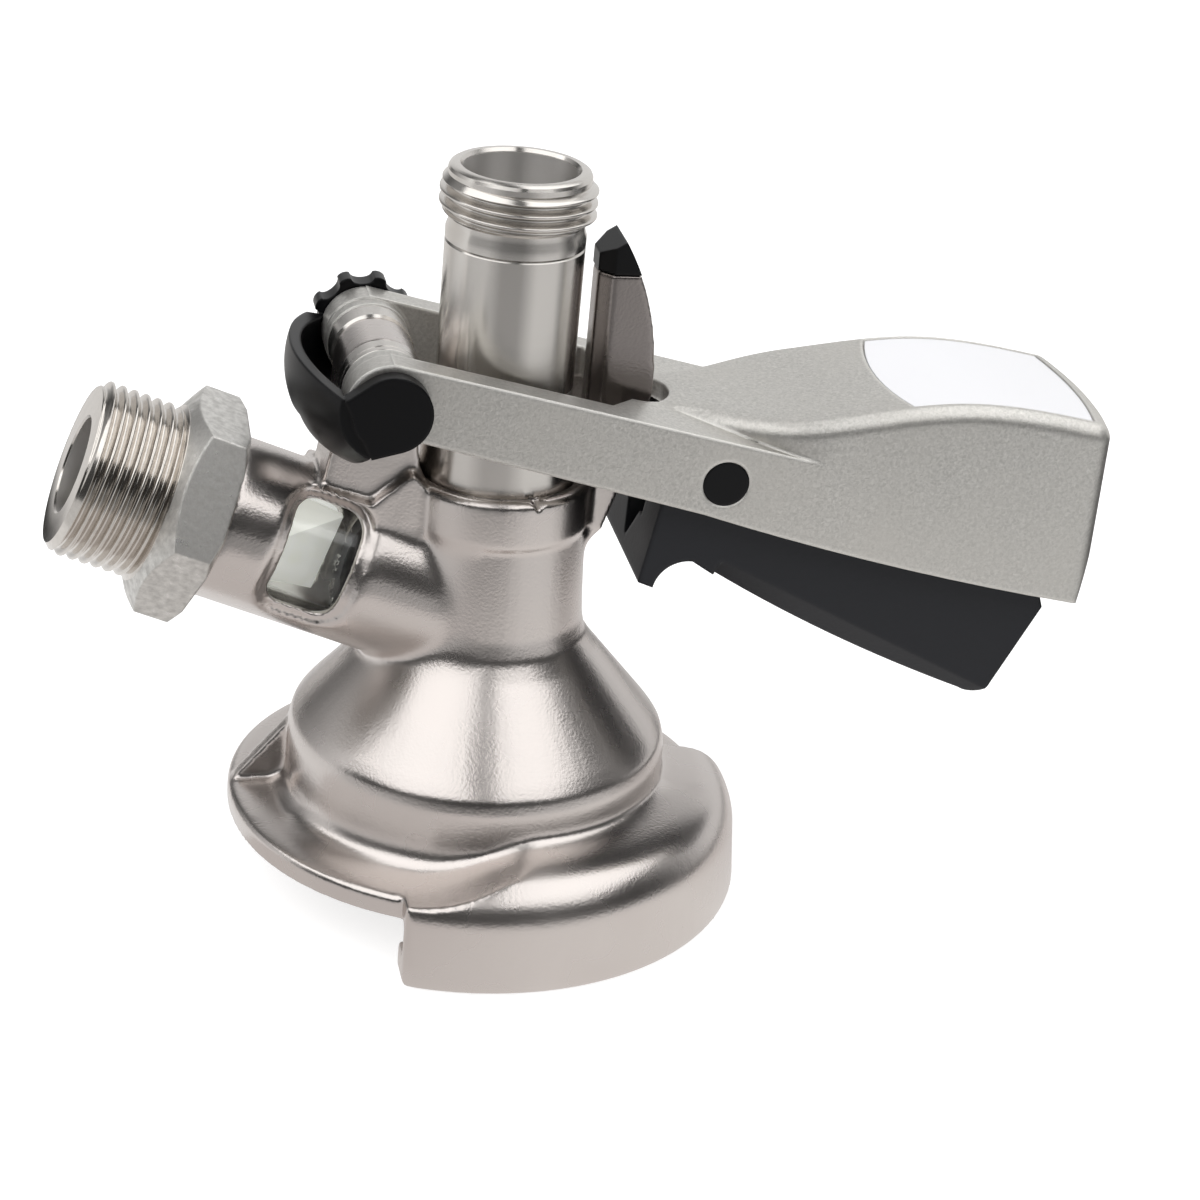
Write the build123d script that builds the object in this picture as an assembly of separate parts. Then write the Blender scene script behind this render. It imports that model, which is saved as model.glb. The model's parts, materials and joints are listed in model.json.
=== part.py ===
from build123d import *
from math import acos, atan2, cos, pi, radians, sin, sqrt, tan
import os

# Keg coupler. Millimetres, +Z up the probe axis, z = 0 under the foot's claw,
# gas arm towards -X, handle towards +X. Drawn locked: lever down, probe down.

# Probe
TUBE_R = 10.25
TUBE_BORE_R = 5.2
BALL_CHAMBER_R = 8.38
BALL_SEAT_RISE = 4.5
BALL_SEAT_GAP = 0.08
BALL_TRAVEL = 3.14
SPIGOT_R = 9.3
SPIGOT_LENGTH = 5.4
STOP_THICKNESS = 2.0
DRIVE_COLLAR_R = 11.7
DRIVE_COLLAR_Z = 53.3
STEM_R = 8.6
STEM_NECK_R = 7.6
TIP_Z = 0.1
TIP_FLANGE_R = 9.4
TIP_FLANGE_HEIGHT = 1.6
PROBE_SEAL_R = 10.6
PROBE_SEAL_HEIGHT = 6.0
DRIVE_GROOVE_R = 9.1
BALL_R = 6.8

# Beer outlet, 5/8 inch pipe thread
OUTLET_THREAD_R = 11.455
OUTLET_THREAD_LENGTH = 4.6
OUTLET_TOP_Z = 113.1
OUTLET_HEIGHT = 11.2
OUTLET_WAIST_R = 9.95

# Body casting
BODY_BORE_CLEARANCE = 0.06
NECK_R = 13.95
COLLAR_R = 14.44
COLLAR_TOP_Z = 66.5
COLLAR_HEIGHT = 7.5
CONE_TOP_Z = 41.5
CONE_TOP_R = 14.7
SHOULDER_R = 29.3
SHOULDER_Z = 25.2
RIM_R = 38.2
RIM_TOP_Z = 12.7
SEAT_Z = 9.0
BOSS_R = 19.0
POCKET_R = 26.6
POCKET_ROOF_Z = 21.0
SEAL_RING_R = 17.2
SEAL_HEIGHT = 4.2
SEAL_PROUD = 0.4

# Claw under the front of the foot
CLAW_R = 42.4
CLAW_DRAFT = 0.9
CLAW_WALL = 3.1
CLAW_HOOK = 3.5
CLAW_THICKNESS = 4.3
CLAW_TOP_Z = 17.2
CLAW_FRONT_X = -15.5
CLAW_BACK_Y = 2.2
CLAW_BLEND = 26.0
CLAW_CORNER = 1.4

# Gas arm, 3/4 inch pipe thread
ARM_TILT = 20.3
ARM_AXIS_Z = 43.1
ARM_R = 12.4
GAS_PORT_R = 4.4
GLASS_R = 9.9
GLASS_WALL = 1.8
GLASS_START_L = 22.2
GLASS_LENGTH = 16.0
GLASS_CLEARANCE = 0.05
SEAL_THICKNESS = 1.5
WINDOW_LENGTH = 10.4
WINDOW_HALF_HEIGHT = 8.1
WINDOW_ANGLE = 12.0
WINDOW_CORNER_R = 2.6
WINDOW_FRAME = 1.7
WINDOW_RECESS = 0.9
UNION_SPIGOT_R = 10.6
UNION_SPIGOT_LENGTH = 5.5
HEX_LENGTH = 8.6
HEX_GAP = 0.2
HEX_FLATS = 30.4
GAS_THREAD_R = 13.22
GAS_THREAD_LENGTH = 12.7
GAS_THREAD_CHAMFER = 1.26
GAS_BORE_R = 7.32
VALVE_WALL = 1.2
VALVE_SKIRT = 2.5
VALVE_LENGTH = 11.5
VALVE_LIP = 1.6
VALVE_SLIT = 0.3

# Hinge
HINGE_X = -19.0
HINGE_Z = 82.0
HINGE_PIN_R = 3.0
HINGE_CLEARANCE = 0.05
EYE_R = 6.0
EYE_HALF = 5.0
LUG_HALF = 6.0
SADDLE_HALF = 8.4
BUSH_R = 6.2
FORK_EYE_R = 6.5
FORK_EYE_INNER_Y = 9.5
SIDE_GAP = 0.1

# Guide finger
FINGER_GAP = 1.95
FINGER_DEPTH = 9.5
FINGER_HALF = 4.0
FINGER_TOP_Z = 98.3
FINGER_CAP_TOP_Z = 103.2
FINGER_BEVEL = 2.0
FINGER_ROOT_RISE = 5.0
NOTCH_DEPTH = 1.5
NOTCH_HEIGHT = 2.2

# Lever
FORK_HALF = 16.5
FORK_INNER = 12.0
ARM_TOP_SLOPE = 12.8
HOLE_GAP = 3.3
HOLE_R = 7.0
FLARE_END_X = 47.6
FLARE_START_Y = 8.2
HANDLE_END_X = 92.0
HANDLE_END_SAG = 2.3
CROWN_START_X = 40.0
CROWN_START_Z = 79.6
CROWN_MID_X = 66.0
CROWN_MID_Z = 82.9
CROWN_END_Z = 79.0
CROWN_EDGE_R = 2.6
REAR_CORNER_R = 3.0
NECK_TOP_Z = 79.3
UNDERSIDE_SLOPE = 14.4
UNDERSIDE_KNEE = (28.0, 65.95)
UNDERSIDE_MID = (53.2, 58.8)
UNDERSIDE_END = (88.6, 51.2)
WALL = 3.0
REAR_WALL = 2.0
DRIVE_PIN_R = 4.0
DRIVE_PIN_Z = 76.4
DRIVE_CLEARANCE = 0.15
LABEL_START_X = 57.0
LABEL_END_X = 89.0
LABEL_EDGE = 2.8
LABEL_THICKNESS = 0.6
LABEL_INSET = 0.15
LABEL_GROOVE = 0.25
LABEL_FRONT_SAG = 2.2
LABEL_REAR_SAG = 1.6

# Trigger, with the corners of its side outline measured from its pin
TRIGGER_BEHIND_HOLE = 6.0
TRIGGER_Z = 70.8
TRIGGER_SIDE_GAP = 0.5
TRIGGER_PIN_R = 2.0
TRIGGER_TOP = ((7.5, -2.8), (2.0, 4.2), (-4.0, 3.8), (-8.4, -4.6))
TRIGGER_FRONT = (-10.8, -17.5)
TRIGGER_TIP = (-8.5, -18.4)
TRIGGER_HOOK = (-6.6, -15.2)
THUMB_REST = (-2.8, -14.1)
GRIP_MIDDLE = (15.0, -24.5)
GRIP_LOW = (42.6, -36.4)
GRIP_TOE = (45.6, -36.6)
GRIP_HEEL = (47.2, -34.8)
GRIP_BACK = (53.6, -21.8)
GRIP_BACK_TOP = (51.8, -16.4)
GRIP_TOP = (29.0, -9.8)
GRIP_BEVEL_RISE = 2.2
GRIP_BEVEL_WIDTH = 4.5
GRIP_BEVEL_DROP = 4.0
PAWL_POCKET_HALF = 5.2
PAWL_POCKET = ((-13.0, -9.3), (-4.0, -10.8), (7.0, -8.3), (7.0, 9.2), (-13.0, 9.2))
FRONT_SLOT_HALF = 4.6
FRONT_SLOT_LOW = -15.2
FRONT_SLOT_HIGH = -8.8
FRONT_SLOT_DEPTH = 6.5
CAP_R = 3.5
CAP_DEPTH = 1.8
SPRING_GAP = 0.3
SPRING_WIRE_R = 0.55
SPRING_TURNS = 5
PAWL_HALF = 1.5
PAWL_GAP = 0.35
PAWL_ROOT = ((-3.8, -10.5), (-3.0, -8.3), (-6.0, -5.8))

# Hinge clip
CLIP_CAP_R = 5.7
CLIP_CAP_THICKNESS = 2.6
CLIP_GAP = 0.3
CLIP_BOW_R = 13.4
CLIP_WALL = 1.8
CLIP_START_ANGLE = 163.5
CLIP_END_ANGLE = 247.4
CLIP_SLOT_TOP = 5.0
CLIP_CHORD_R = 7.2
CLIP_STEP = 1.0
STAR_R = 8.9
STAR_THICKNESS = 3.4
STAR_LOBE_R = 1.7
STAR_VALLEY_R = 2.4
STAR_LOBES = 9
STAR_START_ANGLE = 113.3

TUBE_TOP_Z = OUTLET_TOP_Z - OUTLET_HEIGHT
CHAMBER_TOP_Z = TUBE_TOP_Z - SPIGOT_LENGTH - STOP_THICKNESS
SEAT_ANGLE = atan2(BALL_CHAMBER_R - TUBE_BORE_R, BALL_SEAT_RISE)
BALL_CENTRE_RISE = (BALL_R + BALL_SEAT_GAP) / sin(SEAT_ANGLE) - TUBE_BORE_R / tan(SEAT_ANGLE)
BALL_SEAT_Z = CHAMBER_TOP_Z - BALL_TRAVEL - BALL_R - BALL_CENTRE_RISE
BODY_BORE_R = DRIVE_COLLAR_R + BODY_BORE_CLEARANCE
FLANGE_R = CLAW_R - CLAW_WALL
GLASS_BORE_R = GLASS_R - GLASS_WALL
GLASS_END_L = GLASS_START_L + GLASS_LENGTH
ARM_END_L = GLASS_END_L + SEAL_THICKNESS + UNION_SPIGOT_LENGTH
HEX_START_L = ARM_END_L + HEX_GAP
HEX_END_L = HEX_START_L + HEX_LENGTH
GAS_FACE_L = HEX_END_L + GAS_THREAD_LENGTH
FINGER_INNER_X = TUBE_R + FINGER_GAP
FINGER_ARC_R = FINGER_INNER_X + FINGER_DEPTH - HINGE_X
FINGER_ROOT_Z = COLLAR_TOP_Z - COLLAR_HEIGHT + FINGER_ROOT_RISE
HOLE_END_X = FINGER_INNER_X + FINGER_DEPTH + HOLE_GAP
HOLE_NARROW_X = HOLE_END_X - HOLE_R - 4.0
FLARE_START_X = HOLE_END_X - 2.0
TRIGGER_X = HOLE_END_X + TRIGGER_BEHIND_HOLE
TRIGGER_HALF = FORK_HALF - WALL - TRIGGER_SIDE_GAP
LABEL_HALF = FORK_HALF - LABEL_EDGE
SPRING_COIL_R = TRIGGER_PIN_R + SPRING_GAP + SPRING_WIRE_R
REACH = 3 * CLAW_R
TILT = radians(ARM_TILT)
ARM = Plane(origin=(0, 0, ARM_AXIS_Z), x_dir=(0, -1, 0), z_dir=(-cos(TILT), 0, sin(TILT)))
EPS = 0.01


def ring(outer, inner, bottom, top):
    """Plain sleeve on the probe axis."""
    return Pos(0, 0, bottom) * extrude(Circle(outer) - Circle(inner), top - bottom)


def rod(radius, bottom, top):
    """Plain cylinder on the probe axis."""
    return Pos(0, 0, bottom) * extrude(Circle(radius), top - bottom)


def turned(points):
    """Solid turned about the probe axis from a closed outline of (radius, height)."""
    outline = Polyline([(r, 0, z) for r, z in points], close=True)
    return revolve(make_face(outline), Axis.Z)


def side_slab(outline, low_y, high_y):
    """Plate from a closed outline drawn in the XZ plane, between two y values."""
    face = make_face(outline)
    return extrude(Pos(0, low_y, 0) * face, high_y - low_y, dir=(0, 1, 0))


def along_hinge(radius, low_y, high_y):
    """Cylinder on the hinge axis between two y values."""
    return Pos(HINGE_X, low_y, HINGE_Z) * Rot(-90, 0, 0) * extrude(Circle(radius), high_y - low_y)


def along_y(radius, x, z, low_y, high_y):
    """Cylinder across the coupler between two y values."""
    return Pos(x, low_y, z) * Rot(-90, 0, 0) * extrude(Circle(radius), high_y - low_y)


def finger_outer_x(z):
    """x of the guide finger's arc, which is struck from the hinge axis."""
    return HINGE_X + sqrt(FINGER_ARC_R ** 2 - (z - HINGE_Z) ** 2)


def foot_and_neck():
    """Turned core of the casting: collar, neck, cone, shoulder and shallow rim."""
    collar_low = COLLAR_TOP_Z - COLLAR_HEIGHT
    outline = [
        (0, SEAT_Z), (RIM_R, SEAT_Z), (RIM_R, RIM_TOP_Z - 0.8), (RIM_R - 0.8, RIM_TOP_Z),
        (SHOULDER_R + 2.4, RIM_TOP_Z + 0.2), (SHOULDER_R + 0.6, RIM_TOP_Z + 1.4),
        (SHOULDER_R, RIM_TOP_Z + 3.6), (SHOULDER_R, SHOULDER_Z - 2.6),
        (SHOULDER_R - 0.5, SHOULDER_Z - 0.6), (SHOULDER_R - 1.9, SHOULDER_Z + 1.2),
        (CONE_TOP_R + 2.4, CONE_TOP_Z - 3.2), (CONE_TOP_R + 0.6, CONE_TOP_Z - 0.6),
        (CONE_TOP_R, CONE_TOP_Z + 2.2), (NECK_R, collar_low - 0.5), (COLLAR_R, collar_low),
        (COLLAR_R, COLLAR_TOP_Z - 0.9), (COLLAR_R - 0.9, COLLAR_TOP_Z), (0, COLLAR_TOP_Z)]
    return turned(outline)


def claw():
    """Raised front part of the foot, with the hook that grips the keg's flange."""
    wall_top = SEAT_Z + 1.5
    top_r = CLAW_R - CLAW_DRAFT
    hook_r = FLANGE_R - CLAW_HOOK
    start, end = (top_r, 0, wall_top), (SHOULDER_R + 5.5, 0, CLAW_TOP_Z)
    edges = [
        Line((BOSS_R, 0, SEAT_Z), (FLANGE_R, 0, SEAT_Z)),
        Line((FLANGE_R, 0, SEAT_Z), (FLANGE_R, 0, CLAW_THICKNESS)),
        Line((FLANGE_R, 0, CLAW_THICKNESS), (hook_r, 0, CLAW_THICKNESS)),
        Line((hook_r, 0, CLAW_THICKNESS), (hook_r, 0, 0)),
        Line((hook_r, 0, 0), (CLAW_R - 0.8, 0, 0)),
        Line((CLAW_R - 0.8, 0, 0), (CLAW_R, 0, 0.8)),
        Line((CLAW_R, 0, 0.8), start),
        ThreePointArc(start, (top_r - 2.3, 0, CLAW_TOP_Z - 2.2), end),
        Line(end, (SHOULDER_R + 1.2, 0, CLAW_TOP_Z + 0.6)),
        Line((SHOULDER_R + 1.2, 0, CLAW_TOP_Z + 0.6), (BOSS_R, 0, CLAW_TOP_Z + 4)),
        Line((BOSS_R, 0, CLAW_TOP_Z + 4), (BOSS_R, 0, SEAT_Z))]
    swept = Rot(0, 0, -130) * revolve(make_face(Wire(edges)), Axis.Z, 150)
    keep = Pos(CLAW_FRONT_X + REACH / 2, CLAW_BACK_Y - REACH / 2, 0) * Box(REACH, REACH, REACH)
    return (swept & keep) - claw_blend() - claw_corner()


def claw_blend():
    """Space above the claw's front end, where its raised top grows out of the shallow rim."""
    low = (CLAW_FRONT_X - 1, 0, RIM_TOP_Z + 0.1)
    high = (CLAW_FRONT_X + CLAW_BLEND, 0, CLAW_TOP_Z + 2.0)
    curve = Spline(low, high, tangents=[(1, 0, 0), (1, 0, 0.1)])
    top = (low[0], 0, CLAW_TOP_Z + 8)
    outline = Wire([curve, Line(high, (high[0], 0, top[2])), Line((high[0], 0, top[2]), top), Line(top, low)])
    return side_slab(outline, -REACH / 2, -SHOULDER_R / 2)


def claw_corner():
    """Wedge that breaks the claw's upright front corner."""
    y = -sqrt(CLAW_R ** 2 - CLAW_FRONT_X ** 2)
    outline = Polyline([
        (CLAW_FRONT_X - 1, y - 3), (CLAW_FRONT_X - 1, y + 0.4 * CLAW_CORNER),
        (CLAW_FRONT_X, y + CLAW_CORNER), (CLAW_FRONT_X + CLAW_CORNER, y - 0.4 * CLAW_CORNER),
        (CLAW_FRONT_X + CLAW_CORNER, y - 3)], close=True)
    return extrude(make_face(outline), REACH)


def gas_arm():
    """Tube of the gas arm, closed at the neck, along its own tilted axis."""
    return ARM * extrude(Circle(ARM_R), ARM_END_L)


def arm_cuts():
    """Bores of the gas arm: port, glass seat and the union's thread."""
    port = ARM * extrude(Circle(GAS_PORT_R), GLASS_START_L)
    seat = ARM * (Pos(0, 0, GLASS_START_L - SEAL_THICKNESS) * extrude(
        Circle(GLASS_R + GLASS_CLEARANCE), GLASS_END_L - GLASS_START_L + 2 * SEAL_THICKNESS))
    thread = ARM * (Pos(0, 0, GLASS_END_L + SEAL_THICKNESS - EPS) * extrude(
        Circle(UNION_SPIGOT_R), ARM_END_L - GLASS_END_L))
    return [port, seat, thread]


def window_cut(margin, floor_r):
    """Opening on both sides of the arm that shows the sight glass, or the recess round it."""
    outline = RectangleRounded(
        WINDOW_LENGTH + 2 * margin, 2 * (WINDOW_HALF_HEIGHT + margin), WINDOW_CORNER_R + margin)
    straight = extrude(outline, 2 * ARM_R, both=True)
    middle = GLASS_START_L + GLASS_LENGTH / 2
    turned_outline = Pos(0, 0, middle) * Rot(0, 90, 0) * straight
    floor = extrude(Circle(floor_r), ARM_END_L)
    return ARM * (Rot(0, 0, WINDOW_ANGLE) * (turned_outline - floor))


def hinge_lug():
    """Plate from the arm up to the barrel that carries the hinge pin, on a wider saddle."""
    low_z = ARM_AXIS_Z + 12
    barrel_low = HINGE_Z - EYE_R - 1.2
    plate = Polyline([
        (HINGE_X - 7.6, 0, low_z), (HINGE_X - 7.6, 0, HINGE_Z - 15.0), (HINGE_X - 6.2, 0, barrel_low),
        (HINGE_X + 5.8, 0, barrel_low), (HINGE_X + 6.3, 0, COLLAR_TOP_Z + 2.5),
        (HINGE_X + 8.0, 0, COLLAR_TOP_Z - 1.5), (HINGE_X + 8.0, 0, low_z)], close=True)
    web = Polyline([
        (HINGE_X - 6.2, 0, barrel_low - 1), (HINGE_X - EYE_R, 0, HINGE_Z), (HINGE_X + EYE_R, 0, HINGE_Z),
        (HINGE_X + 5.8, 0, barrel_low - 1)], close=True)
    saddle = Polyline([
        (HINGE_X - 9.6, 0, low_z), (HINGE_X - 8.8, 0, COLLAR_TOP_Z - 0.6),
        (HINGE_X - 0.7, 0, COLLAR_TOP_Z - 3.0), (HINGE_X + 5.2, 0, COLLAR_TOP_Z + 2.0),
        (HINGE_X + 7.2, 0, COLLAR_TOP_Z), (HINGE_X + 7.2, 0, low_z)], close=True)
    barrel = along_hinge(EYE_R, -EYE_HALF, EYE_HALF)
    return (side_slab(plate, -LUG_HALF, LUG_HALF) + side_slab(web, -EYE_HALF, EYE_HALF) + barrel
            + side_slab(saddle, -SADDLE_HALF, SADDLE_HALF))


def finger_outline(bottom_z, top_z):
    """Side outline of the guide finger between two heights."""
    middle = (bottom_z + top_z) / 2
    low, high = (finger_outer_x(bottom_z), 0, bottom_z), (finger_outer_x(top_z), 0, top_z)
    return Wire([
        Line((FINGER_INNER_X, 0, bottom_z), low),
        ThreePointArc(low, (finger_outer_x(middle), 0, middle), high),
        Line(high, (FINGER_INNER_X, 0, top_z)),
        Line((FINGER_INNER_X, 0, top_z), (FINGER_INNER_X, 0, bottom_z))])


def finger_bevels(low_z, high_z):
    """Two long wedges that bevel the finger's inner edges."""
    wedges = []
    for side in (-1, 1):
        edge = side * FINGER_HALF
        corner = [(FINGER_INNER_X - 1, edge + side), (FINGER_INNER_X + FINGER_BEVEL, edge + side),
                  (FINGER_INNER_X + FINGER_BEVEL, edge), (FINGER_INNER_X, edge - side * FINGER_BEVEL),
                  (FINGER_INNER_X - 1, edge - side * FINGER_BEVEL)]
        wedges.append(Pos(0, 0, low_z) * extrude(make_face(Polyline(corner, close=True)), high_z - low_z))
    return wedges


def guide_finger():
    """Finger that guides the lever, with its root lug and latch notch."""
    root_z = FINGER_ROOT_Z
    blade = side_slab(finger_outline(root_z, FINGER_TOP_Z), -FINGER_HALF, FINGER_HALF)
    for wedge in finger_bevels(COLLAR_TOP_Z, FINGER_TOP_Z + 1):
        blade -= wedge
    tip = finger_outer_x(root_z) + 0.5
    lug = Polyline([
        (NECK_R - 3, 0, root_z), (NECK_R - 3, 0, COLLAR_TOP_Z - COLLAR_HEIGHT - 4.5),
        (NECK_R, 0, COLLAR_TOP_Z - COLLAR_HEIGHT - 4.0), (NECK_R + 1.9, 0, COLLAR_TOP_Z - 9.3),
        (NECK_R + 2.4, 0, COLLAR_TOP_Z - 7.6), (tip, 0, root_z)], close=True)
    root = side_slab(lug, -FINGER_HALF, FINGER_HALF)
    notch_z = root_z + 1.6
    floor_x = finger_outer_x(notch_z) - NOTCH_DEPTH
    open_x = floor_x + 3 * NOTCH_DEPTH
    notch = Polyline([
        (floor_x, 0, notch_z + NOTCH_HEIGHT), (open_x, 0, notch_z + NOTCH_HEIGHT), (open_x, 0, notch_z - 1.0),
        (floor_x, 0, notch_z)], close=True)
    return blade + root - side_slab(notch, -PAWL_HALF - 0.5, PAWL_HALF + 0.5)


def body_casting():
    """Investment-cast stainless body."""
    solid = foot_and_neck() + claw() + gas_arm() + hinge_lug() + guide_finger()
    rib = Polyline([
        (-RIM_R + 1.0, 0, RIM_TOP_Z - 2), (-RIM_R + 1.0, 0, RIM_TOP_Z + 0.4),
        (-SHOULDER_R + 0.5, 0, SHOULDER_Z - 2.0), (-CONE_TOP_R - 4.6, 0, CONE_TOP_Z - 5.6),
        (-CONE_TOP_R, 0, CONE_TOP_Z - 8), (-CONE_TOP_R, 0, RIM_TOP_Z - 2)], close=True)
    solid += side_slab(rib, 1.6, 4.2)
    solid -= rod(BODY_BORE_R, SEAT_Z - 1, COLLAR_TOP_Z + 1)
    solid -= Pos(0, 0, COLLAR_TOP_Z - 0.7) * extrude(Circle(BODY_BORE_R), 0.8, taper=-40)
    solid -= rod(SEAL_RING_R, SEAT_Z - 1, SEAT_Z + SEAL_HEIGHT - SEAL_PROUD)
    pocket = turned([(BOSS_R, SEAT_Z - 1), (POCKET_R, SEAT_Z - 1), (POCKET_R, POCKET_ROOF_Z - 2),
                     (POCKET_R - 3, POCKET_ROOF_Z + 1.5), (BOSS_R, POCKET_ROOF_Z + 4)])
    solid -= pocket
    for cut in arm_cuts():
        solid -= cut
    solid -= window_cut(0, GAS_PORT_R)
    solid -= window_cut(WINDOW_FRAME, ARM_R - WINDOW_RECESS)
    solid -= along_hinge(HINGE_PIN_R + HINGE_CLEARANCE, -EYE_HALF - 1, EYE_HALF + 1)
    return solid


def base_seal():
    """Rubber ring that seals on the keg's neck."""
    top = SEAT_Z + SEAL_HEIGHT - SEAL_PROUD
    return ring(SEAL_RING_R, BODY_BORE_R, SEAT_Z - SEAL_PROUD, top)


def gas_union():
    """Screwed union: hexagon, spigot and gas thread in one turned piece."""
    spigot_start = GLASS_END_L + SEAL_THICKNESS
    chamfer = GAS_THREAD_CHAMFER
    spigot = Pos(0, 0, spigot_start) * extrude(Circle(UNION_SPIGOT_R), HEX_START_L - spigot_start)
    hexagon = Pos(0, 0, HEX_START_L) * extrude(
        Rot(0, 0, -3) * RegularPolygon(HEX_FLATS / 2, 6, major_radius=False), HEX_LENGTH)
    corner_r = HEX_FLATS / 2 / cos(pi / 6)
    lathe = [(0, HEX_START_L), (corner_r - 1.6, HEX_START_L), (corner_r + 0.2, HEX_START_L + 1.05),
             (corner_r + 0.2, HEX_END_L - 0.3 * HEX_LENGTH), (GAS_THREAD_R + 0.3, HEX_END_L), (0, HEX_END_L)]
    hexagon &= turned(lathe)
    neck = Pos(0, 0, HEX_END_L) * extrude(Circle(GAS_THREAD_R), GAS_FACE_L - HEX_END_L - chamfer)
    nose = Pos(0, 0, GAS_FACE_L - chamfer) * extrude(Circle(GAS_THREAD_R), chamfer, taper=45)
    solid = spigot + hexagon + neck + nose
    solid -= Pos(0, 0, spigot_start - 1) * extrude(Circle(GAS_BORE_R), GAS_FACE_L)
    return ARM * solid


def sight_glass():
    """Clear tube behind the arm's windows."""
    tube = extrude(Circle(GLASS_R) - Circle(GLASS_BORE_R), GLASS_LENGTH)
    return ARM * (Pos(0, 0, GLASS_START_L) * tube)


def sight_glass_seal():
    """Flat ring between the arm's shoulder and the glass."""
    washer = extrude(Circle(GLASS_R) - Circle(GAS_PORT_R + 1.2), SEAL_THICKNESS)
    return ARM * (Pos(0, 0, GLASS_START_L - SEAL_THICKNESS) * washer)


def gas_check_valve():
    """Duckbill valve: flange clamped between glass and union, bill towards the body."""
    skirt_r = GLASS_BORE_R - 0.3
    skirt_l = GLASS_END_L - VALVE_SKIRT
    flange = Pos(0, 0, GLASS_END_L) * extrude(Circle(GLASS_R), SEAL_THICKNESS)
    skirt = Pos(0, 0, skirt_l) * extrude(Circle(skirt_r), VALVE_SKIRT)
    lip = Pos(0, 0, GLASS_END_L - VALVE_LENGTH) * Rectangle(VALVE_LIP, 1.7 * skirt_r)
    bill = loft([Pos(0, 0, skirt_l) * Circle(skirt_r), lip])
    solid = flange + skirt + bill
    hollow_r = skirt_r - VALVE_WALL
    hollow_lip = Pos(0, 0, GLASS_END_L - VALVE_LENGTH + VALVE_LIP) * Rectangle(VALVE_SLIT, 1.5 * hollow_r)
    solid -= loft([Pos(0, 0, skirt_l) * Circle(hollow_r), hollow_lip])
    solid -= Pos(0, 0, skirt_l) * extrude(Circle(hollow_r), VALVE_SKIRT + 2 * SEAL_THICKNESS)
    return ARM * solid


def finger_cap():
    """Plastic tip pushed on the guide finger."""
    top = finger_outline(FINGER_TOP_Z, FINGER_CAP_TOP_Z)
    solid = side_slab(top, -FINGER_HALF - 0.15, FINGER_HALF + 0.15)
    for wedge in finger_bevels(FINGER_TOP_Z - 1, FINGER_CAP_TOP_Z + 1):
        solid -= wedge
    slope = Polyline([
        (FINGER_INNER_X - 1, 0, FINGER_CAP_TOP_Z + 1), (FINGER_INNER_X - 1, 0, FINGER_CAP_TOP_Z - 2.9),
        (finger_outer_x(FINGER_CAP_TOP_Z), 0, FINGER_CAP_TOP_Z),
        (finger_outer_x(FINGER_CAP_TOP_Z), 0, FINGER_CAP_TOP_Z + 1)], close=True)
    return solid - side_slab(slope, -FINGER_HALF - 1, FINGER_HALF + 1)


def probe_tube():
    """Probe: stem, drive collar with its groove, guide tube and valve chamber."""
    groove_low = DRIVE_PIN_Z - DRIVE_PIN_R - DRIVE_CLEARANCE
    groove_high = DRIVE_PIN_Z + DRIVE_PIN_R + DRIVE_CLEARANCE
    seal_top = TIP_Z + TIP_FLANGE_HEIGHT + PROBE_SEAL_HEIGHT
    o_ring_z = DRIVE_COLLAR_Z + 1.2
    outline = [
        (0, TIP_Z), (TIP_FLANGE_R - 0.6, TIP_Z), (TIP_FLANGE_R, TIP_Z + 0.6),
        (TIP_FLANGE_R, TIP_Z + TIP_FLANGE_HEIGHT), (STEM_NECK_R, TIP_Z + TIP_FLANGE_HEIGHT),
        (STEM_NECK_R, seal_top), (STEM_R, seal_top), (STEM_R, DRIVE_COLLAR_Z - 2),
        (DRIVE_COLLAR_R - 1.2, DRIVE_COLLAR_Z), (DRIVE_COLLAR_R, DRIVE_COLLAR_Z + 0.2),
        (DRIVE_COLLAR_R, o_ring_z), (DRIVE_COLLAR_R - 1.6, o_ring_z), (DRIVE_COLLAR_R - 1.6, o_ring_z + 2.2),
        (DRIVE_COLLAR_R, o_ring_z + 2.2), (DRIVE_COLLAR_R, groove_low), (DRIVE_GROOVE_R, groove_low),
        (DRIVE_GROOVE_R, groove_high), (TUBE_R, groove_high), (TUBE_R, TUBE_TOP_Z - 0.25),
        (TUBE_R - 0.25, TUBE_TOP_Z), (0, TUBE_TOP_Z)]
    solid = turned(outline)
    bore = [(0, TIP_Z - 1), (TUBE_BORE_R, TIP_Z - 1), (TUBE_BORE_R, BALL_SEAT_Z),
            (BALL_CHAMBER_R, BALL_SEAT_Z + BALL_SEAT_RISE), (BALL_CHAMBER_R, CHAMBER_TOP_Z),
            (SPIGOT_R, CHAMBER_TOP_Z), (SPIGOT_R, TUBE_TOP_Z + 1), (0, TUBE_TOP_Z + 1)]
    return solid - turned(bore)


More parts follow.
